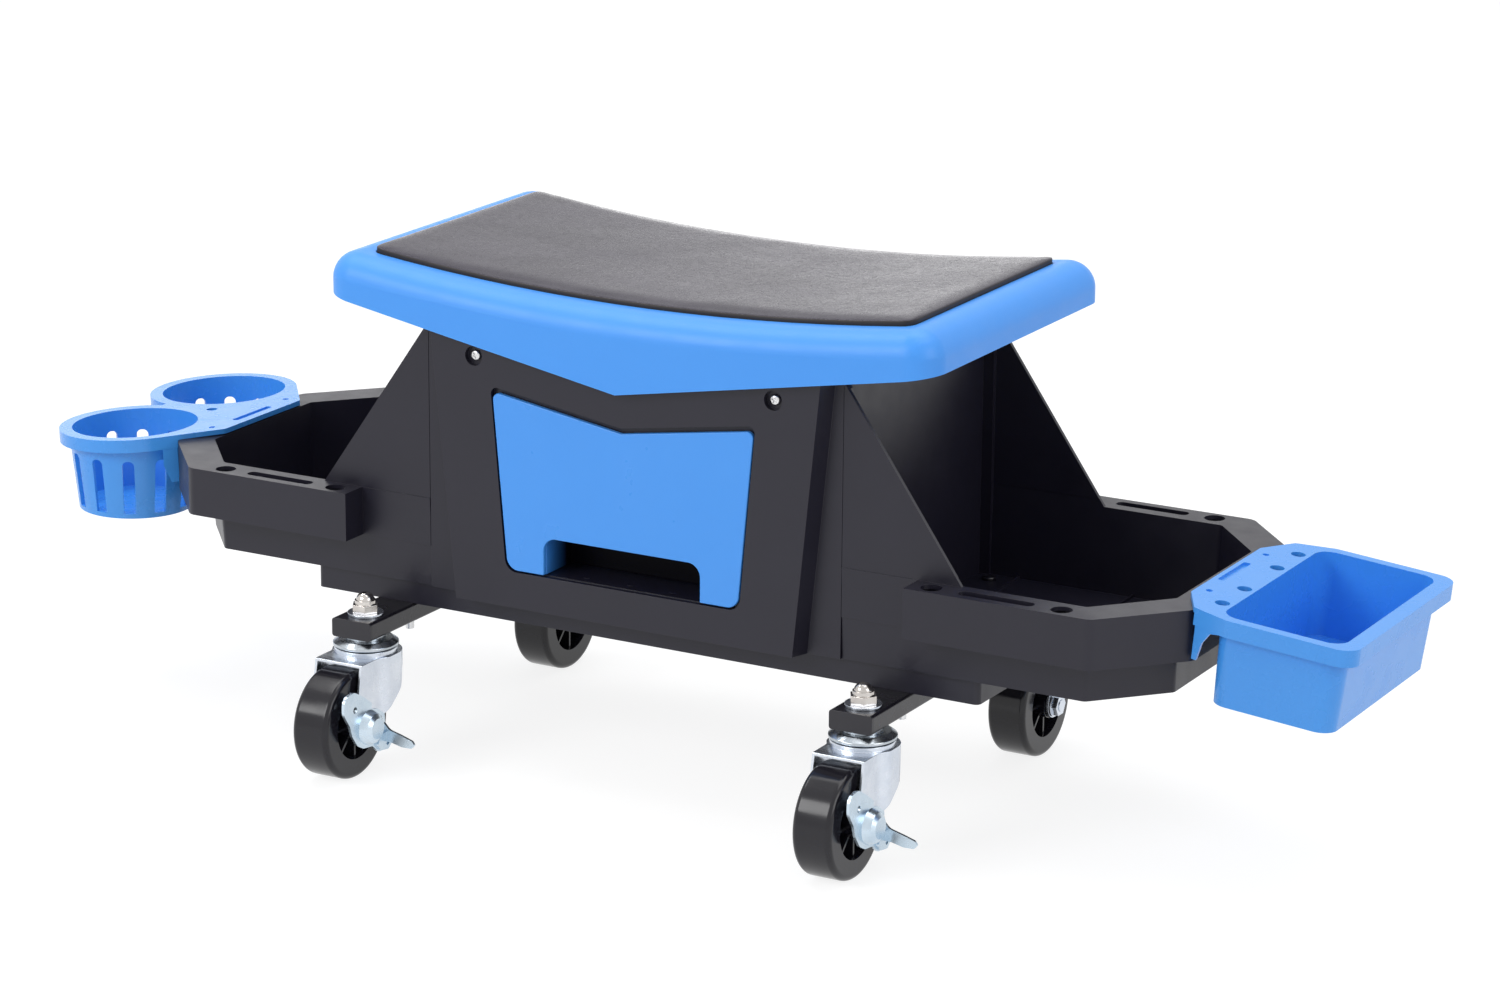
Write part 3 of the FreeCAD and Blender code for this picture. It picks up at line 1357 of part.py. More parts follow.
def make_wheel():
    """One moulding: tread, deep hub recess on each side, web, spokes and hub."""
    wheel = Piece("wheel")
    half = [
        (S.hub_half_length, S.sleeve_radius + S.stem_clear), (S.hub_half_length, S.hub_radius),
        (S.hub_web, S.hub_radius), (S.hub_web, S.hub_recess_radius - S.hub_web / 2),
        (S.wheel_half_width, S.hub_recess_radius), (S.wheel_half_width, S.wheel_radius, S.wheel_shoulder),
    ]
    wheel.turn("Revolution", "XY", "X", both_sides(half))
    width = S.spoke_width / 2
    spoke = wheel.add("YZ", -S.spoke_half_length, S.spoke_half_length * 2,
                      span(-width, width, S.hub_radius - S.hub_web / 3,
                           S.hub_recess_radius + S.hub_web / 3))
    wheel.repeat(spoke, "X", SPOKES)
    return wheel


def petal_outline(shares):
    """An outline on the lever's leaf from its table of shares."""
    return [(S.lever_petal * u, S.lever_petal * v, S.lever_petal * r) for u, v, r in shares]


def make_brake_lever(nut_face):
    """A stamped lever: leaf beside the fork, dome over the axle nut, spring clip and foot pedal."""
    lever = Piece("brake_lever")
    near_side = S.fork_half_width + S.lever_gap
    far_side = near_side + S.lever_sheet
    lever.add("YZ", near_side, S.lever_sheet, petal_outline(LEAF_SHARES))
    lever.add("YZ", near_side, S.lever_sheet * 2, petal_outline(CLIP_SHARES))
    lever.cut("YZ", far_side, S.lever_sheet * 2, petal_outline(CLIP_SLOT_SHARES))
    top = far_side + S.lever_dome_height
    lever.turn("Revolution", "XY", "X", [
        (near_side, 0), (near_side, S.lever_dome_radius), (far_side, S.lever_dome_radius),
        (top - S.lever_sheet, S.lever_dome_radius * 0.84), (top, S.lever_dome_radius * 0.6), (top, 0),
    ])
    lever.turn("Groove", "XY", "X", [
        (near_side - S.lever_gap, 0), (near_side - S.lever_gap, S.lever_dome_inner),
        (nut_face + S.seat_gap, S.lever_dome_inner), (top - S.lever_sheet, S.lever_dome_inner * 0.7),
        (top - S.lever_sheet, 0),
    ])
    pedal = [(near_side + S.lever_reach * u, S.lever_pedal_width * v, S.lever_pedal_width * r)
             for u, v, r in PEDAL_SHARES]
    lever.add("XZ", -S.lever_fold, S.lever_sheet, pedal)
    lever.cut("YZ", near_side - S.overrun, S.lever_sheet + S.overrun * 2,
              Round(-S.lever_petal * 0.6, S.lever_petal * 0.62, S.lever_hole_radius))
    return lever


def make_casters():
    """Four casters whose wheels all trail towards the drawer side."""
    fork = make_fork()
    lever_seat = S.lever_gap + S.lever_sheet + S.seat_gap
    bolts = {"front": make_axle_bolt(lever_seat), "back": make_axle_bolt(S.axle_flange_height)}
    sleeve = make_axle_sleeve()
    wheel = make_wheel()
    lever = make_brake_lever(S.fork_half_width + S.seat_gap / 3 + lever_seat + S.axle_nut_height)
    for end, along in (("left", -S.stem_along), ("right", S.stem_along)):
        for row, across in (("front", -S.stem_across), ("back", S.stem_across)):
            corner = f"{row}_{end}"
            axle_y = across - S.trail
            keep(group(f"fork_{corner}", [fork]), f"fork_{corner}", along, across, fork_top)
            keep(group(f"axle_bolt_{corner}", [bolts[row]]), f"axle_bolt_{corner}", along, axle_y,
                 axle_height)
            keep(group(f"axle_sleeve_{corner}", [sleeve]), f"axle_sleeve_{corner}", along, axle_y,
                 axle_height)
            keep(group(f"wheel_{corner}", [wheel]), f"wheel_{corner}", along, axle_y, axle_height)
            if row == "front":
                keep(group(f"brake_{corner}", [lever]), f"brake_{corner}", along, axle_y, axle_height)


def check_and_export():
    """Stops on a failed object or a bad shape, then writes one file for each part."""
    doc.recompute()
    failed = [item.Label for item in doc.Objects if {"Invalid", "Error"} & set(item.State)]
    if failed:
        raise RuntimeError("failed objects: " + ", ".join(failed))
    os.makedirs("parts", exist_ok=True)
    for part in parts:
        shape = part.Shape
        if shape.isNull() or not shape.isValid() or not shape.Solids:
            raise RuntimeError("bad shape: " + part.Label)
        shape.exportStep(f"parts/{part.Label}.step")
        print(f"{part.Label:26s} solids {len(shape.Solids)} mm3 {shape.Volume:.0f}")


make_seat_shell()
make_seat_pad()
make_seat_screws()
make_housing()
make_drawer_front()
make_drawer_box()
make_drawer_rails()
make_trays()
make_tray_screws()
make_side_bin()
make_cup_holder()
make_base_frame()
make_frame_bolts()
make_cross_tube("left_cross_tube", -1)
make_cross_tube("right_cross_tube", 1)
make_tube_plugs()
make_caster_stems()
make_swivel_cups()
make_stem_washers()
make_acorn_nuts()
make_casters()
check_and_export()
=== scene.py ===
import json
import math

import bmesh
import bpy
from mathutils import Matrix, Vector, noise


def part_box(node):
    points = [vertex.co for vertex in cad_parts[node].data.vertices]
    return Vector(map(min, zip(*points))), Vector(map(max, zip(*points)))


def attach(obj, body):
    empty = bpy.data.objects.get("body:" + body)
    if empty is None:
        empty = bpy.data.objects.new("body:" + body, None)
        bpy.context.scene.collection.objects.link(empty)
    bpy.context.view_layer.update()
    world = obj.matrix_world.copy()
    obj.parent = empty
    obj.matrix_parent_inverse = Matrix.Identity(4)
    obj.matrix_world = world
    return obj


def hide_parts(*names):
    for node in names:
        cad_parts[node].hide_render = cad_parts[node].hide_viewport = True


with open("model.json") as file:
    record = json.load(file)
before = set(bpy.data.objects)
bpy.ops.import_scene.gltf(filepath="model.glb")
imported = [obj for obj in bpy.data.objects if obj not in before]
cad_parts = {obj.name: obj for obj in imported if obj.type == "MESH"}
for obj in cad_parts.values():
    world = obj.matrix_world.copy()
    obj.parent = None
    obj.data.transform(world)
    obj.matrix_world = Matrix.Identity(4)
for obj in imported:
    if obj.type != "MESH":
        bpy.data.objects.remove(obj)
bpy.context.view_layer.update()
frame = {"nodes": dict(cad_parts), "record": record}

# Looks of the creeper seat: +X points to the side bin, -Y to the drawer side and +Z up.
# The frame is in metres; sizes here are in mm and take MM on their way into it, unless said.
MM = 0.001
NODES = frame["nodes"]
RECORD = frame["record"]

# The camera, solved from the photograph: azimuth, elevation and roll in degrees, place in metres
CAMERA_TURNS = (29.127, 16.031, 0.446)
CAMERA_PLACE = (1.450966, -2.532189, 1.023784)
CAMERA_LENS = 108.27
SENSOR_WIDTH = 36
NEAREST_SEEN = 0.05


def make_camera():
    azimuth, elevation, roll = (math.radians(angle) for angle in CAMERA_TURNS)
    back = Vector((
        math.sin(azimuth) * math.cos(elevation),
        -math.cos(azimuth) * math.cos(elevation),
        math.sin(elevation),
    ))
    right = Vector((math.cos(azimuth), math.sin(azimuth), 0))
    up = back.cross(right)
    across = right * math.cos(roll) + up * math.sin(roll)
    upward = up * math.cos(roll) - right * math.sin(roll)
    pose = Matrix((across, upward, back)).transposed().to_4x4()
    pose.translation = Vector(CAMERA_PLACE)
    data = bpy.data.cameras.new("camera")
    data.lens = CAMERA_LENS
    data.sensor_width = SENSOR_WIDTH
    data.clip_start = NEAREST_SEEN
    camera = bpy.data.objects.new("camera", data)
    camera.matrix_world = pose
    bpy.context.scene.collection.objects.link(camera)
    bpy.context.scene.camera = camera


class Shader:
    """A material's tree with short calls to add and join nodes."""

    def __init__(self, name):
        self.material = bpy.data.materials.new(name)
        self.material.use_nodes = True
        self.tree = self.material.node_tree
        self.tree.nodes.clear()
        self.output = self.tree.nodes.new("ShaderNodeOutputMaterial")

    def add(self, kind, **settings):
        node = self.tree.nodes.new(kind)
        for key, value in settings.items():
            setattr(node, key, value)
        return node

    def join(self, source, target):
        self.tree.links.new(source, target)

    def feed(self, socket, value):
        """Sets a socket to a number or a colour, or joins another node's socket to it."""
        if isinstance(value, tuple):
            socket.default_value = (*value, 1)
        elif isinstance(value, (int, float)):
            socket.default_value = value
        else:
            self.join(value, socket)

    def place(self):
        """A point's place in the frame, in metres."""
        return self.add("ShaderNodeTexCoord").outputs["Object"]

    def noise(self, place, scale, detail, roughness=0.5, output="Fac"):
        node = self.add("ShaderNodeTexNoise")
        node.inputs["Scale"].default_value = scale
        node.inputs["Detail"].default_value = detail
        node.inputs["Roughness"].default_value = roughness
        self.join(place, node.inputs["Vector"])
        return node.outputs[output]

    def spread(self, value, low, high, start=0.3, end=0.7):
        """Takes start..end of a value to low..high, clamped."""
        node = self.add("ShaderNodeMapRange")
        node.inputs["From Min"].default_value = start
        node.inputs["From Max"].default_value = end
        node.inputs["To Min"].default_value = low
        node.inputs["To Max"].default_value = high
        self.join(value, node.inputs["Value"])
        return node.outputs["Result"]

    def blend(self, share, first, second, kind="MIX"):
        node = self.add("ShaderNodeMix", data_type="RGBA", blend_type=kind)
        self.feed(node.inputs["Factor"], share)
        self.feed(node.inputs["A"], first)
        self.feed(node.inputs["B"], second)
        return node.outputs["Result"]

    def reckon(self, kind, first, second):
        node = self.add("ShaderNodeMath", operation=kind)
        self.feed(node.inputs[0], first)
        self.feed(node.inputs[1], second)
        return node.outputs["Value"]

    def inside(self, place, low, high, fade):
        """1 inside a box, 0 outside it; along Y it rises from 0 to 1 over the length fade."""
        parts = self.add("ShaderNodeSeparateXYZ")
        self.join(place, parts.inputs["Vector"])
        total = self.spread(parts.outputs["Y"], 0, 1, low[1], low[1] + fade)
        for part, start, end in zip(parts.outputs, low, high):
            over = self.reckon("GREATER_THAN", part, start)
            under = self.reckon("LESS_THAN", part, end)
            total = self.reckon("MULTIPLY", total, self.reckon("MULTIPLY", over, under))
        return total

    def bump(self, height, strength, distance):
        node = self.add("ShaderNodeBump")
        node.inputs["Strength"].default_value = strength
        node.inputs["Distance"].default_value = distance
        self.join(height, node.inputs["Height"])
        return node.outputs["Normal"]

    def surface(self, **sockets):
        node = self.add("ShaderNodeBsdfPrincipled")
        for key, value in sockets.items():
            self.feed(node.inputs[key.replace("_", " ")], value)
        self.join(node.outputs["BSDF"], self.output.inputs["Surface"])


# Moulded plastic: patches per metre of its colour and of its gloss, how dark the grain is beside
# the light colour, the grain's share of the colour, and how far the gloss wanders either way
COLOUR_PATCHES = 18
GLOSS_PATCHES = 54
GRAIN_DIM_SHARE = 0.94
GRAIN_SHARE = 0.35
GRAIN_BUMP = 0.5
PLASTIC_WANDER = (-0.03, 0.04)
# Painted shade for a shaded pocket's deep end: the black and the low gloss it has instead of the
# plastic's own colour and gloss
PAINTED_SHADE_COLOUR = (0.004, 0.0037, 0.006)
PAINTED_SHADE_GLOSS = 0.06


def moulded(name, dark, light, rough, grain, depth, gloss=0.5, black=None):
    """Moulded plastic: slow colour drift, a fine spark-eroded grain and uneven gloss.

    grain is in cells per metre and depth in metres. black names the low and high corner of a box in
    which painted shade turns the plastic black and lowers its gloss, and over what depth along Y it does
    so, in metres.
    """
    s = Shader(name)
    place = s.place()
    drift = s.spread(s.noise(place, COLOUR_PATCHES, detail=4, roughness=0.6), 0, 1)
    fine = s.noise(place, grain, detail=3, roughness=0.65)
    shaded = tuple(channel * GRAIN_DIM_SHARE for channel in light)
    speck = s.blend(s.spread(fine, 0, 1, start=0.35, end=0.65), shaded, light)
    colour = s.blend(GRAIN_SHARE, s.blend(drift, dark, light), speck)
    # Painted shade: inside the box the colour goes to black and the gloss drops
    if black:
        share = s.inside(place, *black)
        colour = s.blend(share, colour, PAINTED_SHADE_COLOUR)
        gloss = s.spread(share, gloss, PAINTED_SHADE_GLOSS, start=0, end=1)
    sheen = s.noise(place, GLOSS_PATCHES, detail=3)
    smoother, rougher = PLASTIC_WANDER
    s.surface(
        Base_Color=colour,
        Roughness=s.spread(sheen, rough + smoother, rough + rougher),
        Normal=s.bump(fine, GRAIN_BUMP, depth),
        Specular_IOR_Level=gloss,
    )
    return s.material


# Plated steel: cells per metre and depth in metres of its grain, and how far its gloss wanders
METAL_GRAIN = 700
METAL_DEPTH = 0.00003
METAL_BUMP = 0.35
METAL_WANDER = (-0.05, 0.08)


def metal(name, dark, light, rough, patches):
    """Plated steel: cloudy plating with so many patches per metre, uneven gloss, a light grain."""
    s = Shader(name)
    place = s.place()
    cloud = s.spread(s.noise(place, patches, detail=5, roughness=0.65), 0, 1)
    sheen = s.noise(place, patches * 2, detail=4)
    fine = s.noise(place, METAL_GRAIN, detail=4, roughness=0.7)
    smoother, rougher = METAL_WANDER
    s.surface(
        Base_Color=s.blend(cloud, dark, light),
        Metallic=1.0,
        Roughness=s.spread(sheen, rough + smoother, rough + rougher),
        Normal=s.bump(fine, METAL_BUMP, METAL_DEPTH),
    )
    return s.material


# The pad's skin: pebbles, folds and patches per metre
PEBBLES = 520
FOLDS = 210
SKIN_PATCHES = 14
# Bends per metre of the net between the pebbles, and how far they reach in metres
BENDS = 90
BEND_REACH = 0.004
# How far in from its edge a pebble's top begins, in the pattern's own unit
PEBBLE_SLOPE = 0.22
# The folds' height beside the pebbles', and the whole relief's strength and depth in metres
FOLD_HEIGHT_SHARE = 0.8
SKIN_BUMP = 0.13
SKIN_DEPTH = 0.00018
SKIN_DARK = (0.034, 0.029, 0.046)
SKIN_LIGHT = (0.052, 0.045, 0.067)
# What the folds' low ground is tinted with, how strongly, and the roughness of low and high ground
FOLD_TINT = (0.62, 0.61, 0.63)
FOLD_SHARE = 0.6
LOW_ROUGH = 0.32
HIGH_ROUGH = 0.20
SKIN_GLOSS = 0.30


def leather(name):
    """The pad's skin: small pebbles with creases between them."""
    s = Shader(name)
    place = s.place()
    bend = s.add("ShaderNodeVectorMath", operation="SCALE")
    bend.inputs["Scale"].default_value = BEND_REACH
    s.join(s.noise(place, BENDS, detail=3, output="Color"), bend.inputs[0])
    moved = s.add("ShaderNodeVectorMath", operation="ADD")
    s.join(place, moved.inputs[0])
    s.join(bend.outputs["Vector"], moved.inputs[1])
    cells = s.add("ShaderNodeTexVoronoi", feature="DISTANCE_TO_EDGE")
    cells.inputs["Scale"].default_value = PEBBLES
    s.join(moved.outputs["Vector"], cells.inputs["Vector"])
    pebble = s.spread(cells.outputs["Distance"], 0, 1, start=0, end=PEBBLE_SLOPE)
    folds = s.noise(place, FOLDS, detail=5, roughness=0.7)
    height = s.reckon("ADD", pebble, s.reckon("MULTIPLY", folds, FOLD_HEIGHT_SHARE))
    patch = s.spread(s.noise(place, SKIN_PATCHES, detail=5, roughness=0.65), 0, 1)
    tint = s.blend(s.spread(folds, 0, 1, start=0.38, end=0.62), FOLD_TINT, (1.0, 1.0, 1.0))
    s.surface(
        Base_Color=s.blend(FOLD_SHARE, s.blend(patch, SKIN_DARK, SKIN_LIGHT), tint, "MULTIPLY"),
        Roughness=s.spread(folds, LOW_ROUGH, HIGH_ROUGH),
        Normal=s.bump(height, SKIN_BUMP, SKIN_DEPTH),
        Specular_IOR_Level=SKIN_GLOSS,
    )
    return s.material


BLUE = moulded("blue_textured", dark=(0.060, 0.322, 0.905), light=(0.066, 0.340, 0.930),
               rough=0.42, grain=1500, depth=0.00010)
BLUE_GLOSS = moulded("blue_smooth", dark=(0.055, 0.312, 0.845), light=(0.060, 0.326, 0.862),
                     rough=0.26, grain=900, depth=0.00002)
BODY = moulded("charcoal_textured", dark=(0.010, 0.009, 0.018), light=(0.0125, 0.0115, 0.022),
               rough=0.38, grain=2100, depth=0.00005, gloss=0.43)
PAINT = moulded("black_enamel", dark=(0.0055, 0.0048, 0.0090), light=(0.0080, 0.0072, 0.0125),
                rough=0.28, grain=800, depth=0.00004)
PLUG = moulded("black_plug", dark=(0.0105, 0.0098, 0.0150), light=(0.0140, 0.0130, 0.0190),
               rough=0.38, grain=1500, depth=0.00004)
WHEEL = moulded("wheel_black", dark=(0.0095, 0.0088, 0.0130), light=(0.0125, 0.0118, 0.0165),
                rough=0.15, grain=1300, depth=0.00002, gloss=0.40)
ZINC = metal("zinc_plate", dark=(0.58, 0.63, 0.71), light=(0.75, 0.79, 0.85), rough=0.24, patches=40)
# A darker copy of the zinc plate: painted shade for the swivel cups under the dark body
ZINC_PAINTED_SHADE = metal("zinc_plate_painted_shade", dark=(0.40, 0.44, 0.48), light=(0.56, 0.60, 0.64),
                  rough=0.22, patches=45)
ZINC_BLUE = metal("zinc_blue_passivated", dark=(0.50, 0.61, 0.71), light=(0.64, 0.74, 0.82),
                  rough=0.26, patches=55)
NICKEL = metal("nickel_plate", dark=(0.45, 0.42, 0.40), light=(0.64, 0.61, 0.58), rough=0.14, patches=60)
SCREW = metal("screw_steel", dark=(0.62, 0.62, 0.63), light=(0.80, 0.80, 0.80), rough=0.22, patches=90)
LEATHER = leather("pad_skin")
PAD_EDGE = moulded("pad_cut_edge", dark=(0.026, 0.021, 0.019), light=(0.040, 0.033, 0.030),
                   rough=0.50, grain=1600, depth=0.00008, gloss=0.25)

# What each of the record's material slots looks like
LOOKS = {
    "blue_plastic": BLUE,
    "blue_gloss": BLUE_GLOSS,
    "body_plastic": BODY,
    "pad_leather": LEATHER,
    "black_paint": PAINT,
    "plug_plastic": PLUG,
    "black_steel": SCREW,
    "zinc_steel": ZINC,
    "nickel_steel": NICKEL,
    "wheel_plastic": WHEEL,
}

# Painted shade in the finger pocket behind the drawer front, which turns from blue to black as the
# pocket's shade deepens: two corners of its box and the length over which it fades, in metres
POCKET_PAINTED_SHADE = ((-0.0634, -0.0965, 0.14), (0.0591, -0.0612, 0.1742), 0.028)
# Nodes that look different from their slot. The tray screws take black enamel as painted shade, for the
# trays' shade they sit in
SPECIAL = {
    # Painted shade: black enamel on the tray screws
    "tray_screws": PAINT,
    # Painted shade: the swivel cups take the darker copy of the zinc
    "swivel_cups": ZINC_PAINTED_SHADE,
    "brake_front_left": ZINC_BLUE,
    "brake_front_right": ZINC_BLUE,
    "drawer_front": moulded("blue_panel", dark=(0.060, 0.322, 0.900), light=(0.065, 0.336, 0.920),
                            rough=0.30, grain=1500, depth=0.00003),
    # The drawer box carries the finger pocket's painted shade
    "drawer_box": moulded("blue_box_painted_shade", dark=(0.056, 0.310, 0.880), light=(0.062, 0.325, 0.900),
                          rough=0.40, grain=1500, depth=0.00006, black=POCKET_PAINTED_SHADE),
}

# How wide the soft edges are, by how a node's name begins; the rest take THIN_EDGE
EDGES = {
    "seat_shell": 1.2,
    "centre_housing": 0.8,
    "right_tray": 0.8,
    "left_tray": 0.8,
    "drawer_front": 0.9,
    "drawer_box": 0.5,
    "side_bin": 0.7,
    "cup_holder": 0.5,
    "base_frame": 0.5,
    "wheel": 0.5,
    "fork": 0.4,
    "brake": 0.4,
    "acorn_nuts": 0.3,
}
THIN_EDGE = 0.25
# Points nearer than WELD_REACH become one, faces that turn less than FLAT_TURN are joined, and
# edges that turn more than SHARP_TURN are rounded; both turns in degrees
WELD_REACH = 0.02
FLAT_TURN = 0.3
SHARP_TURN = 32
EDGE_STEPS = 2
FACE_WEIGHT = 60


def edge_of(name):
    for key, width in EDGES.items():
        if name.startswith(key):
            return width
    return THIN_EDGE


def round_edges(piece, width, turn):
    """Narrow rounded edges where faces turn more than an angle in degrees."""
    soft = piece.modifiers.new("soft", "BEVEL")
    soft.limit_method = "ANGLE"
    soft.angle_limit = math.radians(turn)
    soft.width = width * MM
    soft.segments = EDGE_STEPS
    soft.use_clamp_overlap = True
    return soft


def smooth_curves(piece):
    normal = piece.modifiers.new("normal", "WEIGHTED_NORMAL")
    normal.keep_sharp = True
    return normal


def dress(name, node, look):
    """Gives a CAD node its material, soft edges and smooth curves, all by modifiers."""
    mesh = node.data
    mesh.materials.clear()
    mesh.materials.append(look)
    if "custom_normal" in mesh.attributes:
        mesh.attributes.remove(mesh.attributes["custom_normal"])
    mesh.polygons.foreach_set("use_smooth", [True] * len(mesh.polygons))
    weld = node.modifiers.new("weld", "WELD")
    weld.merge_threshold = WELD_REACH * MM
    flat = node.modifiers.new("flat", "DECIMATE")
    flat.decimate_type = "DISSOLVE"
    flat.angle_limit = math.radians(FLAT_TURN)
    flat.use_dissolve_boundaries = False
    round_edges(node, edge_of(name), SHARP_TURN).miter_outer = "MITER_ARC"
    smooth_curves(node).weight = FACE_WEIGHT


def dress_nodes():
    slots = {part["node"]: part["material_slot"] for part in RECORD["subparts"]}
    for name, node in NODES.items():
        dress(name, node, SPECIAL.get(name, LOOKS[slots[name]]))


def new_piece(name, bm, look, body, *stands_for):
    mesh = bpy.data.meshes.new(name)
    bm.to_mesh(mesh)
    bm.free()
    mesh.materials.append(look)
    mesh.polygons.foreach_set("use_smooth", [True] * len(mesh.polygons))
    piece = bpy.data.objects.new(name, mesh)
    bpy.context.scene.collection.objects.link(piece)
    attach(piece, body)
    if stands_for:
        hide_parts(*stands_for)
    return piece


# The pad is a closed grid over the seat's saddle, swollen by a cloth simulation.
# The saddle's radius in metres, and how far the pad's bottom lies under its lowest line
SADDLE = 1.650
PAD_SUNK = 2.35
PAD_CELL = 5.0
# Rings from the top round the edge to the bottom: how far in, and how high over the saddle
PAD_RINGS = (
    (3.2, 3.9), (1.5, 3.9), (0.6, 3.75), (0.15, 3.3), (0.05, 2.5), (0.05, 0.4), (0.2, -1.2),
    (0.5, -2.1), (1.6, -2.35),
)
PAD_TOP = 3.9
PAD_CROWN = 0.8
# The crown runs level along the pad and falls off at its ends with this power
CROWN_POWER = 6
PAD_CORNER = 7.0
# Faces below PAD_SIDE show the cut edge; points below PAD_HELD stay when the pad swells
PAD_SIDE = 3.35
PAD_HELD = 2.6
# No point swells by more than this
PAD_CAP = 0.95
# Waves of the top: length, height and the layer of noise they come from
PAD_WAVES = ((70, 0.35, 0), (22, 0.12, 9))
CLOTH_FRAMES = 20
CLOTH = {
    "quality": 5,
    "mass": 0.3,
    "tension_stiffness": 20,
    "compression_stiffness": 20,
    "shear_stiffness": 10,
    "bending_stiffness": 2,
    "use_pressure": True,
    "uniform_pressure_force": 4,
}


def saddle(x):
    """The saddle's height over its lowest line, in metres, as x is."""
    return SADDLE - math.sqrt(SADDLE * SADDLE - x * x)


def grid_rim(nx, ny):
    """The grid's border as (column, row) pairs, once round."""
    rim = [(i, 0) for i in range(nx)] + [(nx, j) for j in range(ny)]
    return rim + [(i, ny) for i in range(nx, 0, -1)] + [(0, j) for j in range(ny, 0, -1)]


def pad_top(u, v):
    """The top's height; u and v run from -1 to 1 over the pad's length and width."""
    return PAD_TOP + PAD_CROWN * (1 - v * v) * (1 - u ** CROWN_POWER)


def pad_bottom(u, v):
    return PAD_RINGS[-1][1]


def rounded(x, y, half_x, half_y, radius):
    """Draws a point on a rectangle's border in to its rounded corner."""
    over_x = abs(x) - (half_x - radius)
    over_y = abs(y) - (half_y - radius)
    if over_x > 0 and over_y > 0:
        reach = math.hypot(over_x, over_y)
        x -= math.copysign(over_x * (1 - radius / reach), x)
        y -= math.copysign(over_y * (1 - radius / reach), y)
    return x, y


def pad_mesh(half_x, half_y):
    """Top, sides and bottom in mm round the pad's middle; heights are over the saddle."""
    nx = 2 * round(half_x / PAD_CELL)
    ny = 2 * round(half_y / PAD_CELL)
    sheet_inset = PAD_RINGS[0][0] + PAD_CELL
    points = []
    faces = []

    def sheet(height, turned_over):
        start = len(points)
        for j in range(ny + 1):
            for i in range(nx + 1):
                x = (2 * i / nx - 1) * (half_x - sheet_inset)
                y = (2 * j / ny - 1) * (half_y - sheet_inset)
                points.append((x, y, height(x / half_x, y / half_y)))
        for j in range(ny):
            for i in range(nx):
                a = start + j * (nx + 1) + i
                face = (a, a + 1, a + nx + 2, a + nx + 1)
                faces.append(face[::-1] if turned_over else face)
        return [start + j * (nx + 1) + i for i, j in grid_rim(nx, ny)]

    def band(upper, lower):
        for k in range(len(lower)):
            after = (k + 1) % len(lower)
            faces.append((upper[k], lower[k], lower[after], upper[after]))

    last = sheet(pad_top, False)
    for inset, height in PAD_RINGS:
        ring = []
        for i, j in grid_rim(nx, ny):
            x = (2 * i / nx - 1) * (half_x - inset)
            y = (2 * j / ny - 1) * (half_y - inset)
            x, y = rounded(x, y, half_x - inset, half_y - inset, max(PAD_CORNER - inset, 0))
            ring.append(len(points))
            points.append((x, y, height))
        band(last, ring)
        last = ring
    band(last, sheet(pad_bottom, True))
    return points, faces


def swell(piece, held):
    """Blows the free points up with Cloth and keeps how far they moved under a cap."""
    scene = bpy.context.scene
    group = piece.vertex_groups.new(name="held")
    group.add(held, 1.0, "REPLACE")
    cloth = piece.modifiers.new("cloth", "CLOTH")
    for key, value in CLOTH.items():
        setattr(cloth.settings, key, value)
    cloth.settings.vertex_group_mass = group.name
    cloth.settings.effector_weights.gravity = 0
    cloth.point_cache.frame_start = 1
    cloth.point_cache.frame_end = CLOTH_FRAMES
    for step in range(1, CLOTH_FRAMES + 1):
        scene.frame_set(step)
    view = bpy.context.evaluated_depsgraph_get()
    blown = [point.co.copy() for point in piece.evaluated_get(view).data.vertices]
    piece.modifiers.remove(cloth)
    scene.frame_set(1)
    cap = PAD_CAP * MM
    for point, after in zip(piece.data.vertices, blown):
        step = after - point.co
        if step.length > 0:
            point.co += step * (cap * math.tanh(step.length / cap) / step.length)


def pad_wave(x, y):
    return sum(noise.noise(Vector((x, y, layer)) / length) * height
               for length, height, layer in PAD_WAVES)


def make_pad():
    low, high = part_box("seat_pad")
    middle = Vector(((low[0] + high[0]) / 2, (low[1] + high[1]) / 2, low[2] + PAD_SUNK * MM))
    points, faces = pad_mesh((high[0] - low[0]) / 2 / MM, (high[1] - low[1]) / 2 / MM)
    bm = bmesh.new()
    corners = []
    for x, y, z in points:
        lift = z + (pad_wave(x, y) if z > PAD_TOP else 0)
        spot = middle + Vector((x, y, lift)) * MM + Vector((0, 0, saddle(x * MM)))
        corners.append(bm.verts.new(spot))
    for face in faces:
        bm.faces.new([corners[k] for k in face])
    piece = new_piece("pad_cushion", bm, LEATHER, "frame", "seat_pad")
    piece.data.materials.append(PAD_EDGE)
    for face in piece.data.polygons:
        if max(points[k][2] for k in face.vertices) < PAD_SIDE:
            face.material_index = 1
    swell(piece, [k for k, point in enumerate(points) if point[2] < PAD_HELD])
    smooth = piece.modifiers.new("smooth", "SUBSURF")
    smooth.levels = smooth.render_levels = 1


# The seat screws: pan heads with a cross drive, each turned its own way, in degrees
SCREW_TURNS = (20, 65, 8, 40)
# Distance from the head's top in mm, and radius as a share of the head's, which the CAD gives
SCREW_SHARES = ((0.0, 0.30), (0.05, 0.48), (0.3, 0.72), (0.8, 0.90), (1.5, 1.0), (2.5, 1.0), (2.6, 0.97))
SHANK_RADIUS = 2.2
SHANK_END = 12.2
DRIVE_WIDTH = 1.0
DRIVE_REACH = 2.1
DRIVE_DEPTH = 1.6
SCREW_EDGE = 0.12
SCREW_SHARP = 40
ROUND_STEPS = 28


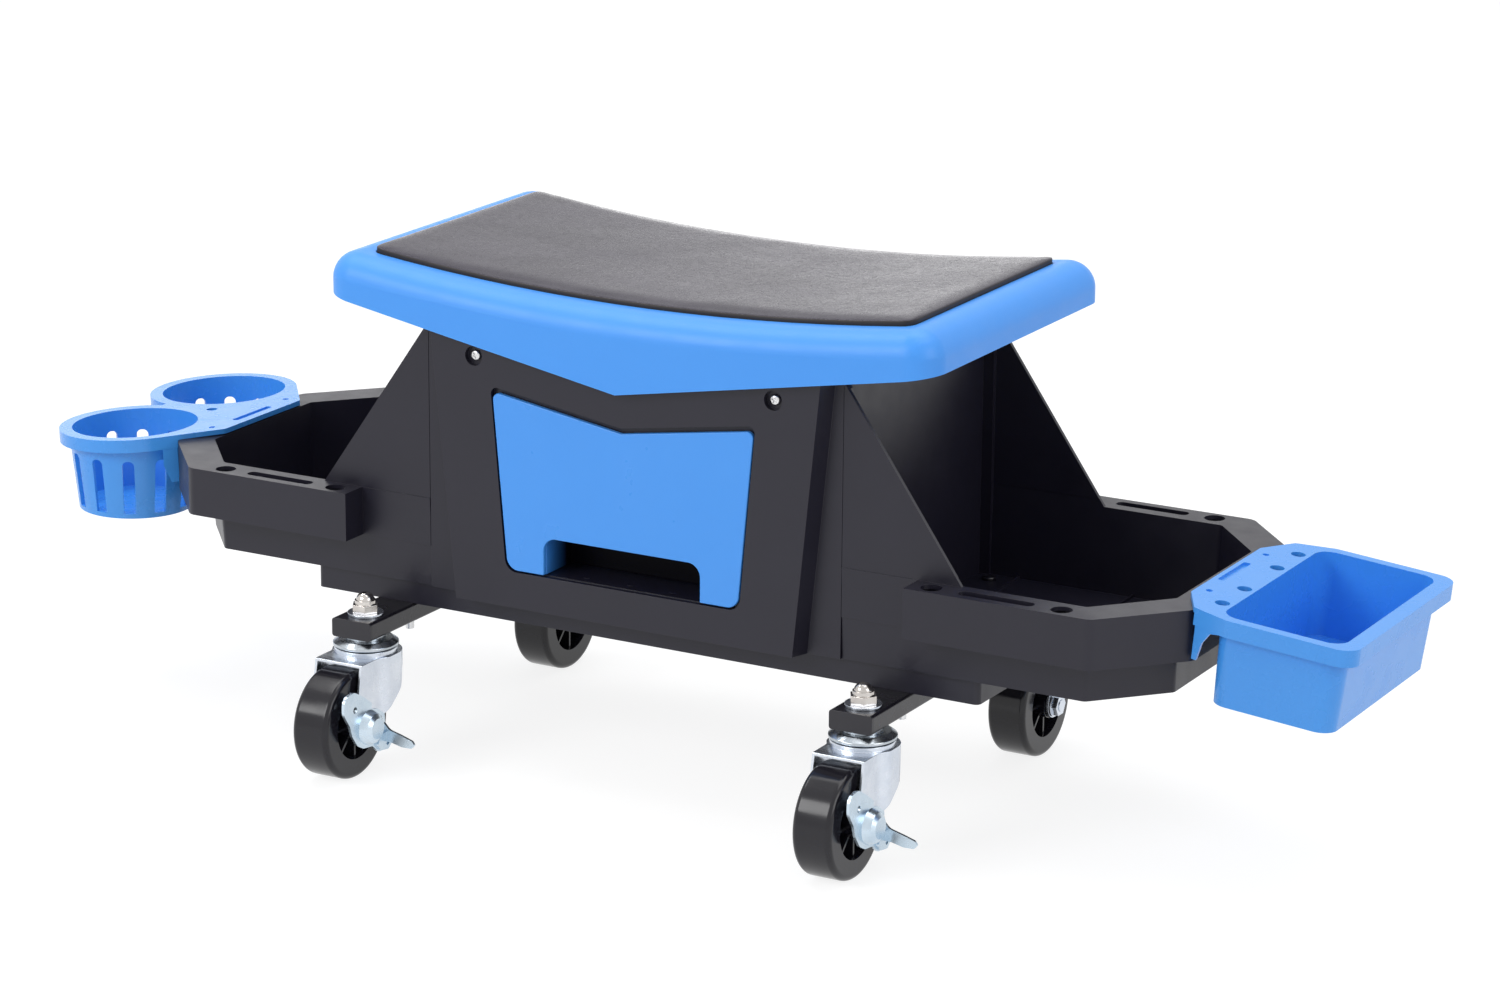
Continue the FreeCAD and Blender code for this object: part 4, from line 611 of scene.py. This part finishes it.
def turned(bm, profile):
    """A closed turned body about Z from (height, radius) pairs in metres, first to last."""
    rings = []
    for height, radius in profile:
        ring = []
        for step in range(ROUND_STEPS):
            angle = 2 * math.pi * step / ROUND_STEPS
            ring.append(bm.verts.new((radius * math.cos(angle), radius * math.sin(angle), height)))
        rings.append(ring)
    for lower, upper in zip(rings, rings[1:]):
        for step in range(ROUND_STEPS):
            after = (step + 1) % ROUND_STEPS
            bm.faces.new((lower[step], lower[after], upper[after], upper[step]))
    bm.faces.new(rings[0][::-1])
    bm.faces.new(rings[-1])
    bmesh.ops.recalc_face_normals(bm, faces=bm.faces[:])


def block(half_x, half_y, half_z):
    """A bmesh of a box round the origin, from its half sizes in mm."""
    bm = bmesh.new()
    corners = bmesh.ops.create_cube(bm, size=2)["verts"]
    bmesh.ops.scale(bm, vec=(half_x * MM, half_y * MM, half_z * MM), verts=corners)
    return bm


def carved(body, cutters):
    """The mesh of one bmesh less the others."""
    objects = []
    for bm in (body, *cutters):
        mesh = bpy.data.meshes.new("carving")
        bm.to_mesh(mesh)
        bm.free()
        item = bpy.data.objects.new("carving", mesh)
        bpy.context.scene.collection.objects.link(item)
        objects.append(item)
    for tool in objects[1:]:
        cut = objects[0].modifiers.new("cut", "BOOLEAN")
        cut.operation = "DIFFERENCE"
        cut.solver = "EXACT"
        cut.object = tool
    view = bpy.context.evaluated_depsgraph_get()
    result = bpy.data.meshes.new_from_object(objects[0].evaluated_get(view))
    for item in objects:
        mesh = item.data
        bpy.data.objects.remove(item)
        bpy.data.meshes.remove(mesh)
    return result


def screw_mesh(head):
    """One screw whose head, of this radius in metres, looks up along Z from the origin."""
    profile = [(-depth * MM, share * head) for depth, share in SCREW_SHARES]
    for depth in (SCREW_SHARES[-1][0], SHANK_END):
        profile.append((-depth * MM, SHANK_RADIUS * MM))
    body = bmesh.new()
    turned(body, profile)
    arms = (
        block(DRIVE_REACH, DRIVE_WIDTH / 2, DRIVE_DEPTH),
        block(DRIVE_WIDTH / 2, DRIVE_REACH, DRIVE_DEPTH),
    )
    return carved(body, arms)


def make_seat_screws():
    low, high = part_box("seat_screws")
    middle = (low + high) / 2
    head = (high.z - low.z) / 2
    across = (high.x - low.x) / 2 - head
    reach = (high.y - low.y) / 2
    screw = screw_mesh(head)
    bm = bmesh.new()
    spots = [(x, y) for y in (-1, 1) for x in (-1, 1)]
    for (x, y), turn in zip(spots, SCREW_TURNS):
        start = len(bm.verts)
        bm.from_mesh(screw)
        bm.verts.ensure_lookup_table()
        place = Matrix.Translation(middle + Vector((x * across, y * reach, 0)))
        outward = Matrix.Rotation(math.radians(-90 * y), 4, "X")
        facing = outward @ Matrix.Rotation(math.radians(turn), 4, "Z")
        bmesh.ops.transform(bm, matrix=place @ facing, verts=bm.verts[start:])
    bpy.data.meshes.remove(screw)
    piece = new_piece("seat_screw_heads", bm, SCREW, "frame", "seat_screws")
    round_edges(piece, SCREW_EDGE, SCREW_SHARP)
    smooth_curves(piece)


# Faint round marks on the housing floor in the finger pull, low enough for the drawer to pass:
# places along from the drawer front's middle, and how far in front of the housing's middle
MARKS = (-33.6, 0.0, 32.3)
MARK_ACROSS = -108.0
# Height over the floor and radius, and the drawer's gap over the floor
MARK_PROFILE = ((-0.3, 2.6), (0.12, 2.5), (0.19, 2.2))
FLOOR_GAP = 0.3
MARK_EDGE = 0.04
MARK_SHARP = 35


def make_floor_marks():
    box_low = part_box("drawer_box")[0]
    front_low, front_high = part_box("drawer_front")
    housing_low, housing_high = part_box("centre_housing")
    middle = Vector((
        (front_low.x + front_high.x) / 2,
        (housing_low.y + housing_high.y) / 2,
        box_low.z - FLOOR_GAP * MM,
    ))
    bm = bmesh.new()
    for along in MARKS:
        start = len(bm.verts)
        turned(bm, [(height * MM, radius * MM) for height, radius in MARK_PROFILE])
        bm.verts.ensure_lookup_table()
        spot = middle + Vector((along, MARK_ACROSS, 0)) * MM
        bmesh.ops.translate(bm, vec=spot, verts=bm.verts[start:])
    piece = new_piece("floor_marks", bm, BODY, "frame")
    round_edges(piece, MARK_EDGE, MARK_SHARP)
    smooth_curves(piece)


# The stage: greys of the floor's paper as the object's light meets it and as it is seen, the
# seen paper's own glow, and the floor's half width in metres
PAPER_GREY = 0.8
SEEN_GREY = 0.28
SEEN_GLOW = 0.84
FLOOR_REACH = 9
FLOOR_CELLS = 4
# The world as it lights the object
SKY_COLOUR = (0.97, 0.98, 1.0)
SKY_STRENGTH = 0.48
# The lamps: place, aim, width and height in metres, and power in watts
LAMPS = {
    "key": ((-1.3, -2.6, 1.9), (0, 0, 0.2), (1.6, 1.3), 39),
    "side": ((2.7, -0.5, 1.3), (0, 0, 0.2), (1.4, 1.4), 16),
    "top": ((0.2, 0.5, 2.6), (0, 0, 0.2), (2.6, 1.6), 26),
    "strip": ((-1.32, -0.06, 2.16), (-0.1, -0.05, 0.1), (1.2, 0.16), 9),
    "back": ((-1.5, 2.65, 0.42), (0.1, 0, 0.35), (1.2, 0.35), 2.3),
    "rim": ((-2.2, 2.1, 1.0), (-0.2, 0, 0.2), (0.5, 0.4), 1.1),
}


def seen_straight(tree):
    """1 for camera, glossy and glass rays, which see the white studio."""
    path = tree.nodes.new("ShaderNodeLightPath")
    total = path.outputs["Is Camera Ray"]
    for name in ("Is Glossy Ray", "Is Transmission Ray"):
        node = tree.nodes.new("ShaderNodeMath")
        node.operation = "MAXIMUM"
        tree.links.new(total, node.inputs[0])
        tree.links.new(path.outputs[name], node.inputs[1])
        total = node.outputs["Value"]
    return total


def paper_material():
    s = Shader("studio_floor")
    paper = s.add("ShaderNodeBsdfDiffuse")
    s.feed(paper.inputs["Color"], (PAPER_GREY, PAPER_GREY, PAPER_GREY))
    sheet = s.add("ShaderNodeBsdfDiffuse")
    s.feed(sheet.inputs["Color"], (SEEN_GREY, SEEN_GREY, SEEN_GREY))
    glow = s.add("ShaderNodeEmission")
    s.feed(glow.inputs["Color"], (1, 1, 1))
    s.feed(glow.inputs["Strength"], SEEN_GLOW)
    total = s.add("ShaderNodeAddShader")
    s.join(sheet.outputs["BSDF"], total.inputs[0])
    s.join(glow.outputs["Emission"], total.inputs[1])
    pick = s.add("ShaderNodeMixShader")
    s.join(seen_straight(s.tree), pick.inputs["Fac"])
    s.join(paper.outputs["BSDF"], pick.inputs[1])
    s.join(total.outputs["Shader"], pick.inputs[2])
    s.join(pick.outputs["Shader"], s.output.inputs["Surface"])
    return s.material


def make_floor():
    bm = bmesh.new()
    bmesh.ops.create_grid(bm, x_segments=FLOOR_CELLS, y_segments=FLOOR_CELLS, size=FLOOR_REACH)
    mesh = bpy.data.meshes.new("floor")
    bm.to_mesh(mesh)
    bm.free()
    mesh.materials.append(paper_material())
    floor = bpy.data.objects.new("floor", mesh)
    bpy.context.scene.collection.objects.link(floor)


def make_world():
    """White where it is seen straight, and a plain sky where it lights the object."""
    world = bpy.data.worlds.new("studio")
    world.use_nodes = True
    bpy.context.scene.world = world
    tree = world.node_tree
    tree.nodes.clear()
    out = tree.nodes.new("ShaderNodeOutputWorld")
    mix = tree.nodes.new("ShaderNodeMixShader")
    seen = tree.nodes.new("ShaderNodeBackground")
    seen.inputs["Color"].default_value = (1, 1, 1, 1)
    seen.inputs["Strength"].default_value = 1.0
    sky = tree.nodes.new("ShaderNodeBackground")
    sky.inputs["Color"].default_value = (*SKY_COLOUR, 1)
    sky.inputs["Strength"].default_value = SKY_STRENGTH
    tree.links.new(seen_straight(tree), mix.inputs["Fac"])
    tree.links.new(sky.outputs["Background"], mix.inputs[1])
    tree.links.new(seen.outputs["Background"], mix.inputs[2])
    tree.links.new(mix.outputs["Shader"], out.inputs["Surface"])


def make_lamp(name, place, aim, size, power):
    data = bpy.data.lights.new(name, "AREA")
    data.shape = "RECTANGLE"
    data.size, data.size_y = size
    data.energy = power
    lamp = bpy.data.objects.new(name, data)
    lamp.location = place
    lamp.rotation_mode = "QUATERNION"
    lamp.rotation_quaternion = (Vector(aim) - Vector(place)).to_track_quat("-Z", "Y")
    bpy.context.scene.collection.objects.link(lamp)


dress_nodes()
make_pad()
make_seat_screws()
make_floor_marks()

bpy.context.scene.view_settings.view_transform = "Standard"
make_camera()
make_floor()
make_world()
for lamp_name, settings in LAMPS.items():
    make_lamp(lamp_name, *settings)
